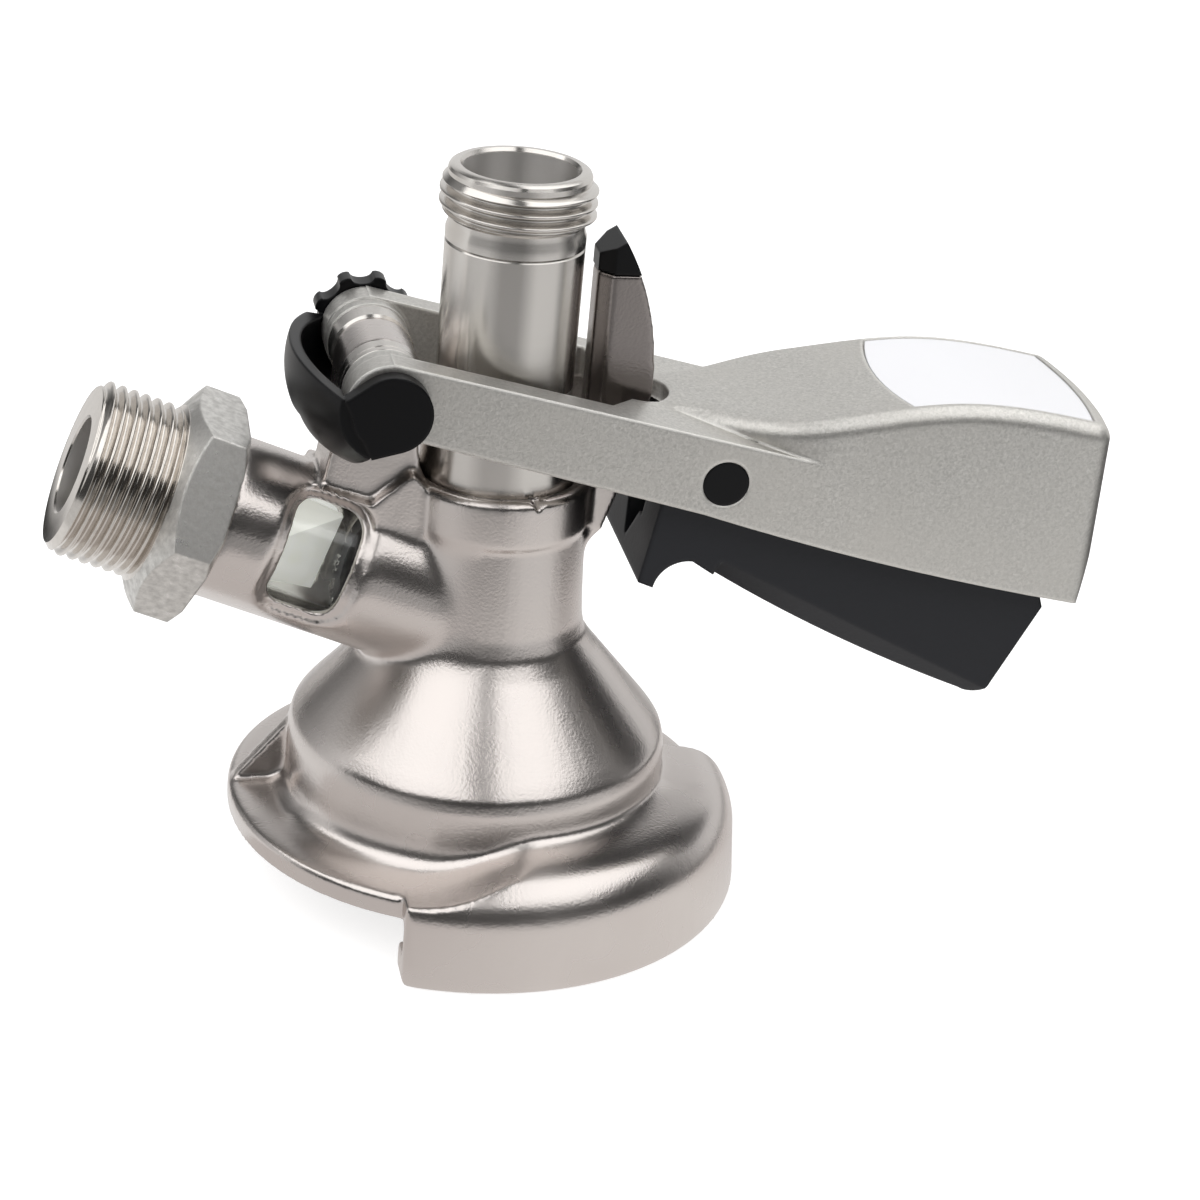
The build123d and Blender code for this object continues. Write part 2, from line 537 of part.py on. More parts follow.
def outlet_fitting():
    """Threaded beer outlet that screws into the probe tube."""
    thread_top = OUTLET_TOP_Z - 1.2
    thread_low = thread_top - OUTLET_THREAD_LENGTH
    low = TUBE_TOP_Z - SPIGOT_LENGTH
    outline = [
        (BALL_CHAMBER_R, low), (SPIGOT_R, low), (SPIGOT_R, TUBE_TOP_Z), (TUBE_R - 0.25, TUBE_TOP_Z),
        (TUBE_R, TUBE_TOP_Z + 0.25), (TUBE_R, TUBE_TOP_Z + 1.6), (OUTLET_WAIST_R, TUBE_TOP_Z + 3.0),
        (OUTLET_WAIST_R, thread_low - 1.6), (OUTLET_THREAD_R, thread_low), (OUTLET_THREAD_R, thread_top),
        (OUTLET_THREAD_R - 1.0, thread_top + 1.0), (OUTLET_THREAD_R - 1.2, OUTLET_TOP_Z),
        (BALL_CHAMBER_R + 0.9, OUTLET_TOP_Z), (BALL_CHAMBER_R, OUTLET_TOP_Z - 1.6)]
    return turned(outline)


def ball_stop():
    """Spider that keeps the check ball below the outlet."""
    solid = ring(SPIGOT_R, BALL_CHAMBER_R, CHAMBER_TOP_Z, CHAMBER_TOP_Z + STOP_THICKNESS)
    for turn in range(3):
        bar = Pos(0, 0, CHAMBER_TOP_Z + STOP_THICKNESS / 2) * Rot(0, 0, 60 * turn) * Box(
            2 * BALL_CHAMBER_R + 0.6, 1.6, STOP_THICKNESS)
        solid += bar
    return solid


def check_ball():
    """Ball that drops on its seat when the beer line is closed."""
    return Pos(0, 0, BALL_SEAT_Z + BALL_CENTRE_RISE) * Sphere(BALL_R)


def probe_seal():
    """Rubber sleeve on the probe's tip."""
    low = TIP_Z + TIP_FLANGE_HEIGHT
    high = low + PROBE_SEAL_HEIGHT
    return turned([(STEM_NECK_R, low), (PROBE_SEAL_R - 1.0, low), (PROBE_SEAL_R, low + 1.0),
                   (PROBE_SEAL_R, high - 1.6), (PROBE_SEAL_R - 1.6, high), (STEM_NECK_R, high)])


def probe_o_ring():
    """O-ring in the drive collar's groove."""
    section = (BODY_BORE_R - 0.03 - DRIVE_COLLAR_R + 1.6) / 2
    centre_z = DRIVE_COLLAR_Z + 1.2 + 1.1
    return Pos(0, 0, centre_z) * Torus(DRIVE_COLLAR_R - 1.6 + section, section)


def arm_top_z(x):
    """Height of the fork arms' top edge."""
    return HINGE_Z + FORK_EYE_R / cos(radians(ARM_TOP_SLOPE)) - (x - HINGE_X) * tan(radians(ARM_TOP_SLOPE))


def underside(start_x):
    """Lower edge of the lever from a start x to the rear end, as edges."""
    knee = (UNDERSIDE_KNEE[0], 0, UNDERSIDE_KNEE[1])
    start = (start_x, 0, knee[2] + (knee[0] - start_x) * tan(radians(UNDERSIDE_SLOPE)))
    mid = (UNDERSIDE_MID[0], 0, UNDERSIDE_MID[1])
    end = (UNDERSIDE_END[0], 0, UNDERSIDE_END[1])
    return start, [Line(start, knee), ThreePointArc(knee, mid, end)], end


def lever_planform():
    """Lever seen from above: flared neck, straight sides and bowed rear end."""
    corner = (HANDLE_END_X - HANDLE_END_SAG, FORK_HALF)
    front = (FLARE_START_X - 2, FLARE_START_Y)
    full = (FLARE_END_X, FORK_HALF)
    edges = [Spline(front, full, tangents=[(1, 0.05), (1, 0)]), Line(full, corner)]
    rear = ThreePointArc(corner, (HANDLE_END_X, 0), (corner[0], -corner[1]))
    mirrored = [edge.mirror(Plane.XZ) for edge in edges]
    face = make_face(Wire(edges + [rear] + mirrored + [Line(front, (front[0], -front[1]))]))
    rear_corners = [vertex for vertex in face.vertices() if vertex.X > FLARE_END_X + 1]
    return fillet(rear_corners, REAR_CORNER_R)


def crown_line(drop, end_x):
    """Top line of the handle, lowered by a wall's thickness."""
    points = [(FLARE_START_X - 2, NECK_TOP_Z), (CROWN_START_X, CROWN_START_Z),
              (CROWN_MID_X, CROWN_MID_Z), (HANDLE_END_X + 2, CROWN_END_Z)]
    line = Spline([(x, 0, z - drop) for x, z in points], tangents=[(1, 0, -0.04), (1, 0, -0.2)])
    cut = Pos((FLARE_START_X - 4 + end_x) / 2, 0, CROWN_START_Z) * Box(
        end_x - FLARE_START_X + 4, 1, 4 * CROWN_START_Z)
    return (line & cut).edge()


def fork_and_skirt():
    """Fork arms and side walls below the arms' top line."""
    start, low_edges, low_end = underside(HINGE_X + 3.4)
    rear_top = (HANDLE_END_X + 1, 0, CROWN_END_Z - 3.5)
    outline = Wire(low_edges + [
        Line(low_end, rear_top), Line(rear_top, (FLARE_END_X + 2, 0, CROWN_END_Z - 3.5)),
        Line((FLARE_END_X + 2, 0, CROWN_END_Z - 3.5), (FLARE_END_X, 0, arm_top_z(FLARE_END_X))),
        Line((FLARE_END_X, 0, arm_top_z(FLARE_END_X)), (HINGE_X, 0, arm_top_z(HINGE_X))),
        Line((HINGE_X, 0, arm_top_z(HINGE_X)), (HINGE_X, 0, HINGE_Z)),
        Line((HINGE_X, 0, HINGE_Z), start)])
    slab = side_slab(outline, -FORK_HALF, FORK_HALF) + along_hinge(FORK_EYE_R, -FORK_HALF, FORK_HALF)
    handle = extrude(lever_planform(), REACH)
    front = Pos(FLARE_END_X - REACH / 2, 0, HINGE_Z) * Box(REACH, REACH, REACH)
    return (slab & front) + (slab & handle)


def under_line(line, low):
    """Closed side outline below a line, down to one height."""
    start, end = line @ 0, line @ 1
    return Wire([line, Line(end, (end.X, 0, low)), Line((end.X, 0, low), (start.X, 0, low)),
                 Line((start.X, 0, low), start)])


def crown():
    """Raised back of the handle with its rounded edges."""
    outline = under_line(crown_line(0, HANDLE_END_X + 2), CROWN_END_Z - 2 * WALL)
    solid = side_slab(outline, -FORK_HALF, FORK_HALF) & extrude(lever_planform(), REACH)
    top = solid.faces().sort_by(Axis.Z)[-1]
    edges = [edge for edge in top.edges() if edge.center().X > FLARE_START_X]
    return fillet(edges, CROWN_EDGE_R)


def fork_gap():
    """Slot between the arms, ending round behind the guide finger."""
    front_x = HINGE_X - 2 * FORK_EYE_R
    wide = Pos((front_x + HOLE_NARROW_X) / 2, 0, REACH / 2) * Box(
        HOLE_NARROW_X - front_x, 2 * FORK_INNER, REACH)
    taper_face = make_face(Polyline([
        (HOLE_NARROW_X - 1, FORK_INNER), (HOLE_NARROW_X, FORK_INNER), (HOLE_END_X - HOLE_R, HOLE_R),
        (HOLE_END_X - HOLE_R, -HOLE_R), (HOLE_NARROW_X, -FORK_INNER), (HOLE_NARROW_X - 1, -FORK_INNER)],
        close=True))
    end = Pos(HOLE_END_X - HOLE_R, 0, 0) * extrude(Circle(HOLE_R), REACH)
    return wide + extrude(taper_face, REACH) + end


def lever_hollow():
    """Space inside the handle for the trigger, open below and to the fork."""
    low = UNDERSIDE_END[1] - 4 * WALL
    line = crown_line(WALL, HANDLE_END_X - REAR_WALL - 0.6)
    start, end = line @ 0, line @ 1
    foot = (UNDERSIDE_END[0] - REAR_WALL, 0, UNDERSIDE_END[1])
    front = start.X - 8
    outline = Wire([
        line, Line(end, foot), Line(foot, (foot[0], 0, low)), Line((foot[0], 0, low), (front, 0, low)),
        Line((front, 0, low), (front, 0, start.Z)), Line((front, 0, start.Z), start)])
    return side_slab(outline, -FORK_HALF + WALL, FORK_HALF - WALL)


def lever():
    """Cast fork lever with its hollow handle."""
    solid = fork_and_skirt() + crown()
    solid -= fork_gap()
    solid -= lever_hollow()
    for side in (-1, 1):
        inner, outer = sorted((side * FORK_EYE_INNER_Y, side * (FORK_INNER + 1)))
        solid += along_hinge(FORK_EYE_R - 0.2, inner, outer)
    solid -= along_hinge(HINGE_PIN_R + HINGE_CLEARANCE, -FORK_HALF - 1, FORK_HALF + 1)
    solid -= along_y(TRIGGER_PIN_R, TRIGGER_X, TRIGGER_Z, -FORK_HALF - 1, FORK_HALF + 1)
    for side in (-1, 1):
        low, high = sorted((side * (FORK_HALF + 1), side * (FORK_HALF - CAP_DEPTH)))
        solid -= along_y(CAP_R, TRIGGER_X, TRIGGER_Z, low, high)
        low, high = sorted((side * (FORK_INNER - 1), side * (FORK_INNER + 2.5)))
        solid -= along_y(DRIVE_PIN_R - 1.2, 0, DRIVE_PIN_Z, low, high)
    return solid - label_block(-LABEL_THICKNESS, LABEL_INSET + LABEL_THICKNESS, LABEL_GROOVE)


def label_block(upper_drop, lower_drop, margin):
    """Block with the label's outline between two lines that follow the crown."""
    upper = crown_line(upper_drop, HANDLE_END_X + 2)
    lower = crown_line(lower_drop, HANDLE_END_X + 2)
    strip = Wire([upper, Line(upper @ 1, lower @ 1), lower, Line(lower @ 0, upper @ 0)])
    half = LABEL_HALF + margin
    front, rear = LABEL_START_X - margin, LABEL_END_X + margin
    front_corner, rear_corner = front + LABEL_FRONT_SAG, rear - LABEL_REAR_SAG
    plan = Wire([
        ThreePointArc((front_corner, half), (front, 0), (front_corner, -half)),
        Line((front_corner, -half), (rear_corner, -half)),
        ThreePointArc((rear_corner, -half), (rear, 0), (rear_corner, half)),
        Line((rear_corner, half), (front_corner, half))])
    return side_slab(strip, -half, half) & extrude(make_face(plan), REACH)


def label_plate():
    """Blank plate let into the top of the handle."""
    return label_block(LABEL_INSET, LABEL_INSET + LABEL_THICKNESS, 0)


def drive_pins():
    """Two headed pins in the fork that move the probe."""
    pins = []
    for side in (-1, 1):
        tip = DRIVE_GROOVE_R + 0.35
        low, high = sorted((side * tip, side * (FORK_INNER - SIDE_GAP)))
        head = along_y(DRIVE_PIN_R, 0, DRIVE_PIN_Z, low, high)
        low, high = sorted((side * (FORK_INNER - 0.5), side * (FORK_INNER + 2.5)))
        pins.append(head + along_y(DRIVE_PIN_R - 1.2, 0, DRIVE_PIN_Z, low, high))
    return Compound(children=pins)


def hinge_pin():
    """Steel pin through the barrel and both fork eyes."""
    return along_hinge(HINGE_PIN_R, -FORK_HALF, FORK_HALF)


def hinge_bushes():
    """Two turned collars between the barrel and the fork eyes."""
    bushes = []
    for side in (-1, 1):
        low, high = sorted((side * EYE_HALF, side * (FORK_EYE_INNER_Y - SIDE_GAP)))
        bushes.append(along_hinge(BUSH_R, low, high) - along_hinge(HINGE_PIN_R, low - 1, high + 1))
    return Compound(children=bushes)


def clip_profile(inset):
    """Half section of the clip's bow: its end's y, its middle radius and its end radius."""
    edge = FORK_HALF + CLIP_GAP + CLIP_CAP_THICKNESS - CLIP_STEP
    return edge - inset, CLIP_BOW_R - inset, CLIP_CAP_R + 1.8 - inset


def clip_bow():
    """Curved cover that joins the clip's two ends round the back of the hinge."""
    span = CLIP_END_ANGLE - CLIP_START_ANGLE
    shells = []
    for inset in (0, CLIP_WALL):
        edge, bow, side = clip_profile(inset)
        arc = ThreePointArc((-edge, side), (0, bow), (edge, side))
        face = make_face(Wire([arc, Line((edge, side), (edge, 0)), Line((edge, 0), (-edge, 0)),
                               Line((-edge, 0), (-edge, side))]))
        shells.append(revolve(face, Axis.X, span))
    outer, inner = shells
    half = FORK_HALF + CLIP_GAP
    hollow = Rot(0, 90, 0) * Cylinder(FORK_EYE_R + 2 * CLIP_GAP, 2 * half)
    place = Plane(origin=(HINGE_X, 0, HINGE_Z), x_dir=(0, 1, 0), z_dir=(0, 0, 1))
    bow = place * (Rot(180 - CLIP_END_ANGLE, 0, 0) * (outer - inner)) - place * hollow
    slot_half = LUG_HALF + 2 * CLIP_GAP
    slot = Pos(HINGE_X - CLIP_BOW_R, 0, HINGE_Z - CLIP_SLOT_TOP - CLIP_BOW_R) * Box(
        3 * CLIP_BOW_R, 2 * slot_half, 2 * CLIP_BOW_R)
    return bow - slot


def star_plate():
    """Lobed finger grip at the rear end of the clip."""
    low = FORK_HALF + CLIP_GAP
    high = low + STAR_THICKNESS
    plate = along_hinge(STAR_R, low, high)
    lobe_centre = STAR_R + 0.3
    valley_centre = STAR_R + 0.75 * STAR_VALLEY_R
    for lobe in range(STAR_LOBES):
        angle = radians(STAR_START_ANGLE + 360 / STAR_LOBES * lobe)
        x, z = HINGE_X + lobe_centre * cos(angle), HINGE_Z + lobe_centre * sin(angle)
        plate += along_y(STAR_LOBE_R, x, z, low, high)
    for lobe in range(STAR_LOBES):
        angle = radians(STAR_START_ANGLE + 360 / STAR_LOBES * (lobe + 0.5))
        x, z = HINGE_X + valley_centre * cos(angle), HINGE_Z + valley_centre * sin(angle)
        plate -= along_y(STAR_VALLEY_R, x, z, low - 1, high + 1)
    return plate


def clip_corner(angle, turn):
    """A corner of the front cap's straight side, and where the line from it touches the round side."""
    lean = turn * acos(CLIP_CAP_R / CLIP_CHORD_R)
    corner = (HINGE_X + CLIP_CHORD_R * cos(angle), 0, HINGE_Z + CLIP_CHORD_R * sin(angle))
    touch = (HINGE_X + CLIP_CAP_R * cos(angle + lean), 0, HINGE_Z + CLIP_CAP_R * sin(angle + lean))
    return corner, touch


def front_cap():
    """D-shaped cap over the front end of the hinge pin."""
    low = FORK_HALF + CLIP_GAP
    upper, upper_touch = clip_corner(radians(CLIP_START_ANGLE), -1)
    lower, lower_touch = clip_corner(radians(CLIP_END_ANGLE), 1)
    wedge = Polyline([(HINGE_X, 0, HINGE_Z), upper_touch, upper, lower, lower_touch], close=True)
    return along_hinge(CLIP_CAP_R, -low - CLIP_CAP_THICKNESS, -low) + side_slab(
        wedge, -low - CLIP_CAP_THICKNESS, -low)


def hinge_clip():
    """Plastic clip that keeps the hinge pin in: front cap, bow and star grip."""
    return front_cap() + star_plate() + clip_bow()


def grip_bevels(start, end):
    """Two wedges along the grip's lower edges, from the thumb rest backwards."""
    origin, finish = Vector(*start), Vector(*end)
    along = Plane(origin=origin, x_dir=(0, 1, 0), z_dir=finish - origin)
    length = (finish - origin).length + 1.5 * GRIP_BEVEL_DROP
    wedges = []
    for side in (-1, 1):
        edge = side * TRIGGER_HALF
        outline = Polyline([
            (edge + side, GRIP_BEVEL_RISE), (edge, GRIP_BEVEL_RISE),
            (edge - side * GRIP_BEVEL_WIDTH, -GRIP_BEVEL_DROP), (edge + side, -GRIP_BEVEL_DROP)], close=True)
        wedges.append(along * (Pos(0, 0, GRIP_BEVEL_DROP) * extrude(make_face(outline), length)))
    return wedges


def from_pivot(offset):
    """Point on the side outline of the trigger or its pawl, given from the trigger's pin."""
    return TRIGGER_X + offset[0], 0, TRIGGER_Z + offset[1]


def trigger():
    """Moulded trigger: two cheeks, hooked front and swelling grip."""
    tip, hook, thumb = from_pivot(TRIGGER_TIP), from_pivot(TRIGGER_HOOK), from_pivot(THUMB_REST)
    low, toe, heel = from_pivot(GRIP_LOW), from_pivot(GRIP_TOE), from_pivot(GRIP_HEEL)
    straight = [heel] + [from_pivot(p) for p in (GRIP_BACK, GRIP_BACK_TOP, GRIP_TOP) + TRIGGER_TOP]
    straight += [from_pivot(TRIGGER_FRONT), tip]
    edges = [ThreePointArc(tip, hook, thumb), ThreePointArc(thumb, from_pivot(GRIP_MIDDLE), low),
             ThreePointArc(low, toe, heel)]
    edges += [Line(a, b) for a, b in zip(straight, straight[1:])]
    solid = side_slab(Wire(edges), -TRIGGER_HALF, TRIGGER_HALF)
    for wedge in grip_bevels(thumb, low):
        solid -= wedge
    pocket = Polyline([from_pivot(p) for p in PAWL_POCKET], close=True)
    solid -= side_slab(pocket, -PAWL_POCKET_HALF, PAWL_POCKET_HALF)
    slot_low, slot_high = TRIGGER_Z + FRONT_SLOT_LOW, TRIGGER_Z + FRONT_SLOT_HIGH
    slot = Polyline([(0, PAWL_GAP, slot_low), (0, FRONT_SLOT_HALF, slot_high),
                     (0, -FRONT_SLOT_HALF, slot_high), (0, -PAWL_GAP, slot_low)], close=True)
    slot_x = TRIGGER_X + PAWL_POCKET[0][0]
    solid -= extrude(Pos(slot_x, 0, 0) * make_face(slot), FRONT_SLOT_DEPTH, dir=(1, 0, 0))
    return solid - along_y(TRIGGER_PIN_R + HINGE_CLEARANCE, TRIGGER_X, TRIGGER_Z, -FORK_HALF, FORK_HALF)


def trigger_pin():
    """Pin that the trigger turns on."""
    end = FORK_HALF - CAP_DEPTH
    return along_y(TRIGGER_PIN_R, TRIGGER_X, TRIGGER_Z, -end, end)


def trigger_pin_caps():
    """Two plastic plugs over the ends of the trigger's pin."""
    caps = []
    for side in (-1, 1):
        low, high = sorted((side * FORK_HALF, side * (FORK_HALF - CAP_DEPTH)))
        caps.append(along_y(CAP_R - 0.05, TRIGGER_X, TRIGGER_Z, low, high))
    return Compound(children=caps)


def trigger_spring():
    """Torsion spring wound round the trigger's pin."""
    pitch = 2 * SPRING_WIRE_R + 0.35
    length = pitch * SPRING_TURNS
    path = Helix(pitch, length, SPRING_COIL_R)
    section = Plane(origin=path @ 0, z_dir=path % 0) * Circle(SPRING_WIRE_R)
    coil = sweep(section, path)
    return Pos(TRIGGER_X, length / 2, TRIGGER_Z) * Rot(90, 0, 0) * coil


def latch_pawl():
    """Steel hook in the trigger that faces the finger's notch."""
    nose_z = FINGER_ROOT_Z + 1.6
    nose_x = HINGE_X + sqrt((FINGER_ARC_R + 0.9) ** 2 - (nose_z - HINGE_Z) ** 2) + PAWL_GAP
    outline = Polyline([
        (nose_x, 0, nose_z + 1.0), (nose_x, 0, nose_z), (nose_x + 2.2, 0, nose_z - 2.2)]
        + [from_pivot(p) for p in PAWL_ROOT] + [(nose_x + 2.0, 0, nose_z + 1.6)], close=True)
    return side_slab(outline, -PAWL_HALF, PAWL_HALF)


SUBPARTS = {
    "body_casting": body_casting,
    "base_seal": base_seal,
    "gas_union": gas_union,
    "sight_glass": sight_glass,
    "sight_glass_seal": sight_glass_seal,
    "gas_check_valve": gas_check_valve,
    "finger_cap": finger_cap,
    "probe_tube": probe_tube,
    "outlet_fitting": outlet_fitting,
    "ball_stop": ball_stop,
    "check_ball": check_ball,
    "probe_seal": probe_seal,
    "probe_o_ring": probe_o_ring,
    "lever": lever,
    "label_plate": label_plate,
    "drive_pins": drive_pins,
    "hinge_pin": hinge_pin,
    "hinge_bushes": hinge_bushes,
    "hinge_clip": hinge_clip,
    "trigger": trigger,
    "trigger_pin": trigger_pin,
    "trigger_pin_caps": trigger_pin_caps,
    "trigger_spring": trigger_spring,
    "latch_pawl": latch_pawl,
}

os.makedirs("parts", exist_ok=True)
for name, make in SUBPARTS.items():
    export_step(make(), f"parts/{name}.step")
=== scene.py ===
import json
from math import cos, pi, radians, sin

import bmesh
import bpy
from mathutils import Matrix, Vector

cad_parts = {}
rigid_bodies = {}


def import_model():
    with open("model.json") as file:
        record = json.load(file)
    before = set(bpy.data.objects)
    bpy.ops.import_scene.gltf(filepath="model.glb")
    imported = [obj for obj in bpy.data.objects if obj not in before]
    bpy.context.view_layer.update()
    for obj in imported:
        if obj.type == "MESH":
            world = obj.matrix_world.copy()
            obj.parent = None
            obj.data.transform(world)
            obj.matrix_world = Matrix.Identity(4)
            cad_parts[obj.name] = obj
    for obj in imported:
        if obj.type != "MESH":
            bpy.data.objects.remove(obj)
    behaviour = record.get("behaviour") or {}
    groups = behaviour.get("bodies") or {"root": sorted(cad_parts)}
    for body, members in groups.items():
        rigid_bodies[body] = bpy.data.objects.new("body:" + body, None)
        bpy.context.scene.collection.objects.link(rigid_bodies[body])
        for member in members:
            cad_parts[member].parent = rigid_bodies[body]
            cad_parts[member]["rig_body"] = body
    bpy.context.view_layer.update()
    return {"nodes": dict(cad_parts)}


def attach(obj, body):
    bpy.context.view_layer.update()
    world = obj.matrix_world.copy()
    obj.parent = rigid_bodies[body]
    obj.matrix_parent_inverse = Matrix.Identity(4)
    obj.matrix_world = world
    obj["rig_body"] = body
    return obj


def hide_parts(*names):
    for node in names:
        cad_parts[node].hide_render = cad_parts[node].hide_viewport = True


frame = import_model()

# Studio. The coupler stands on white paper, photographed from the front left and a little above with a
# long lens. Two big soft panels lie overhead with a gap over the camera, the walls in front are dark and
# the one behind is white, and beyond the paper the back of the table is dark, as upright metal shows.


def tone(code):
    """Linear RGBA of an sRGB hex colour."""
    channels = [int(code[i:i + 2], 16) / 255 for i in (0, 2, 4)]
    return [c / 12.92 if c <= 0.04045 else ((c + 0.055) / 1.055) ** 2.4 for c in channels] + [1.0]


def add(tree, kind, values=None, links=None, stops=(), **settings):
    """Adds a node: its own settings, the values of its sockets, the links into them, and a ramp's stops."""
    node = tree.nodes.new(kind)
    for key, value in settings.items():
        setattr(node, key, value)
    for key, value in (values or {}).items():
        node.inputs[key].default_value = value
    for key, socket in (links or {}).items():
        tree.links.new(socket, node.inputs[key])
    for number, (place, code) in enumerate(stops):
        stop = node.color_ramp.elements[0] if number == 0 else node.color_ramp.elements.new(place)
        stop.position, stop.color = place, tone(code)
    return node


# The camera's matrix comes from a fit of its place, turn and focal length to the photograph's edges.
lens = bpy.data.cameras.new("long_lens")
lens.sensor_width = 36.0
lens.lens = 86.4
lens.clip_start, lens.clip_end = 0.01, 20.0
camera = bpy.data.objects.new("camera", lens)
right, up = Vector((0.97745901, -0.19136586, 0.08917951)), Vector((0.00254265, 0.43304041, 0.90137092))
back, place = Vector((-0.21110995, -0.88082638, 0.42376583)), Vector((-0.076011, -0.391314, 0.232394))
camera.matrix_world = Matrix([[right[i], up[i], back[i], place[i]] for i in range(3)] + [[0, 0, 0, 1]])
bpy.context.scene.collection.objects.link(camera)
bpy.context.scene.camera = camera
bpy.context.scene.view_settings.view_transform = "Standard"

world = bpy.data.worlds.new("light_tent")
world.use_nodes = True
bpy.context.scene.world = world
tree = world.node_tree
tree.nodes.clear()
path = add(tree, "ShaderNodeLightPath")
way = add(tree, "ShaderNodeTexCoord")
around = add(tree, "ShaderNodeTexGradient", links={0: way.outputs["Generated"]}, gradient_type="RADIAL")
walls = add(tree, "ShaderNodeValToRGB", links={0: around.outputs["Fac"]}, stops=(
    (0.0, "404040"), (0.48, "404040"), (0.56, "ececec"), (0.77, "ececec"), (0.83, "404040"), (1.0, "404040")))
height = add(tree, "ShaderNodeSeparateXYZ", links={0: way.outputs["Generated"]})
overhead = add(tree, "ShaderNodeMapRange", {"From Min": 0.5, "From Max": 0.7}, {"Value": height.outputs["Z"]})
room = add(tree, "ShaderNodeMix", {7: tone("505050")}, {0: overhead.outputs[0], 6: walls.outputs["Color"]},
           data_type="RGBA")
glow = add(tree, "ShaderNodeBackground", {"Color": tone("ffffff"), "Strength": 0.3})
mirrored = add(tree, "ShaderNodeBackground", {"Strength": 1.0}, {"Color": room.outputs[2]})
backdrop = add(tree, "ShaderNodeBackground", {"Color": tone("ffffff"), "Strength": 1.0})
inner = add(tree, "ShaderNodeMixShader",
            links={0: path.outputs["Is Glossy Ray"], 1: glow.outputs[0], 2: mirrored.outputs[0]})
seen = add(tree, "ShaderNodeMath",
           links={0: path.outputs["Is Camera Ray"], 1: path.outputs["Is Transmission Ray"]},
           operation="MAXIMUM")
outer = add(tree, "ShaderNodeMixShader",
            links={0: seen.outputs[0], 1: inner.outputs[0], 2: backdrop.outputs[0]})
add(tree, "ShaderNodeOutputWorld", links={"Surface": outer.outputs[0]})


def finish_named(name):
    """New material with an empty node tree."""
    made = bpy.data.materials.new(name)
    made.use_nodes = True
    made.node_tree.nodes.clear()
    return made, made.node_tree


# The paper ends in a soft edge, and far behind the coupler it sweeps up to the white wall.
PAPER_EDGE, PAPER_FADE = 0.125, 0.05
SWEEP_START, SWEEP_END = 0.165, 0.205
TABLE_HALF = 3

table_top, tree = finish_named("table_paper")
path = add(tree, "ShaderNodeLightPath")
where = add(tree, "ShaderNodeTexCoord")
around = add(tree, "ShaderNodeTexGradient", links={0: where.outputs["Object"]}, gradient_type="RADIAL")
beyond = add(tree, "ShaderNodeValToRGB", links={0: around.outputs["Fac"]}, stops=(
    (0.0, "dedede"), (0.1, "dedede"), (0.17, "a0a0a0"), (0.26, "a0a0a0"), (0.33, "e6e6e6"), (0.43, "e6e6e6"),
    (0.49, "2c2c2c"), (0.85, "2c2c2c"), (0.91, "dedede"), (1.0, "dedede")))
reach = add(tree, "ShaderNodeVectorMath", links={0: where.outputs["Object"]}, operation="LENGTH")
far = add(tree, "ShaderNodeMapRange", {"From Min": PAPER_EDGE, "From Max": PAPER_EDGE + PAPER_FADE},
          {"Value": reach.outputs["Value"]}, interpolation_type="SMOOTHSTEP")
# Painted light on the paper as metal shows it: lighter toward the front right, duller elsewhere.
paper_light_near = add(tree, "ShaderNodeValToRGB", links={0: around.outputs["Fac"]}, stops=(
    (0.0, "dfdbd9"), (0.15, "e1dddb"), (0.28, "f6f3f1"), (0.42, "fbf9f7"), (0.5, "e7e3e1"), (1.0, "dfdbd9")))
shown = add(tree, "ShaderNodeMix",
            links={0: far.outputs[0], 6: paper_light_near.outputs["Color"], 7: beyond.outputs["Color"]},
            data_type="RGBA")
paper = add(tree, "ShaderNodeBsdfDiffuse", {"Color": tone("c8c8c8")})
lit = add(tree, "ShaderNodeEmission", {"Color": tone("ffffff"), "Strength": 0.74})
white = add(tree, "ShaderNodeAddShader", links={0: paper.outputs[0], 1: lit.outputs[0]})
depth = add(tree, "ShaderNodeSeparateXYZ", links={0: where.outputs["Object"]})
behind = add(tree, "ShaderNodeMapRange", {"From Min": SWEEP_START, "From Max": SWEEP_END},
             {"Value": depth.outputs["Y"]})
swept = add(tree, "ShaderNodeMix", {7: tone("e6e4e2")}, {0: behind.outputs[0], 6: shown.outputs[2]},
            data_type="RGBA")
cloth = add(tree, "ShaderNodeEmission", {"Strength": 1.0}, {"Color": swept.outputs[2]})
direct = add(tree, "ShaderNodeMath",
             links={0: path.outputs["Is Camera Ray"], 1: path.outputs["Is Transmission Ray"]},
             operation="MAXIMUM")
matt = add(tree, "ShaderNodeMixShader",
           links={0: direct.outputs[0], 1: paper.outputs[0], 2: white.outputs[0]})
mixed = add(tree, "ShaderNodeMixShader",
            links={0: path.outputs["Is Glossy Ray"], 1: matt.outputs[0], 2: cloth.outputs[0]})
add(tree, "ShaderNodeOutputMaterial", links={"Surface": mixed.outputs[0]})
sheet = bpy.data.meshes.new("table")
sheet.from_pydata([(-TABLE_HALF, -TABLE_HALF, 0), (TABLE_HALF, -TABLE_HALF, 0),
                   (TABLE_HALF, TABLE_HALF, 0), (-TABLE_HALF, TABLE_HALF, 0)], [], [(0, 1, 2, 3)])
sheet.materials.append(table_top)
table = bpy.data.objects.new("table", sheet)
bpy.context.scene.collection.objects.link(table)

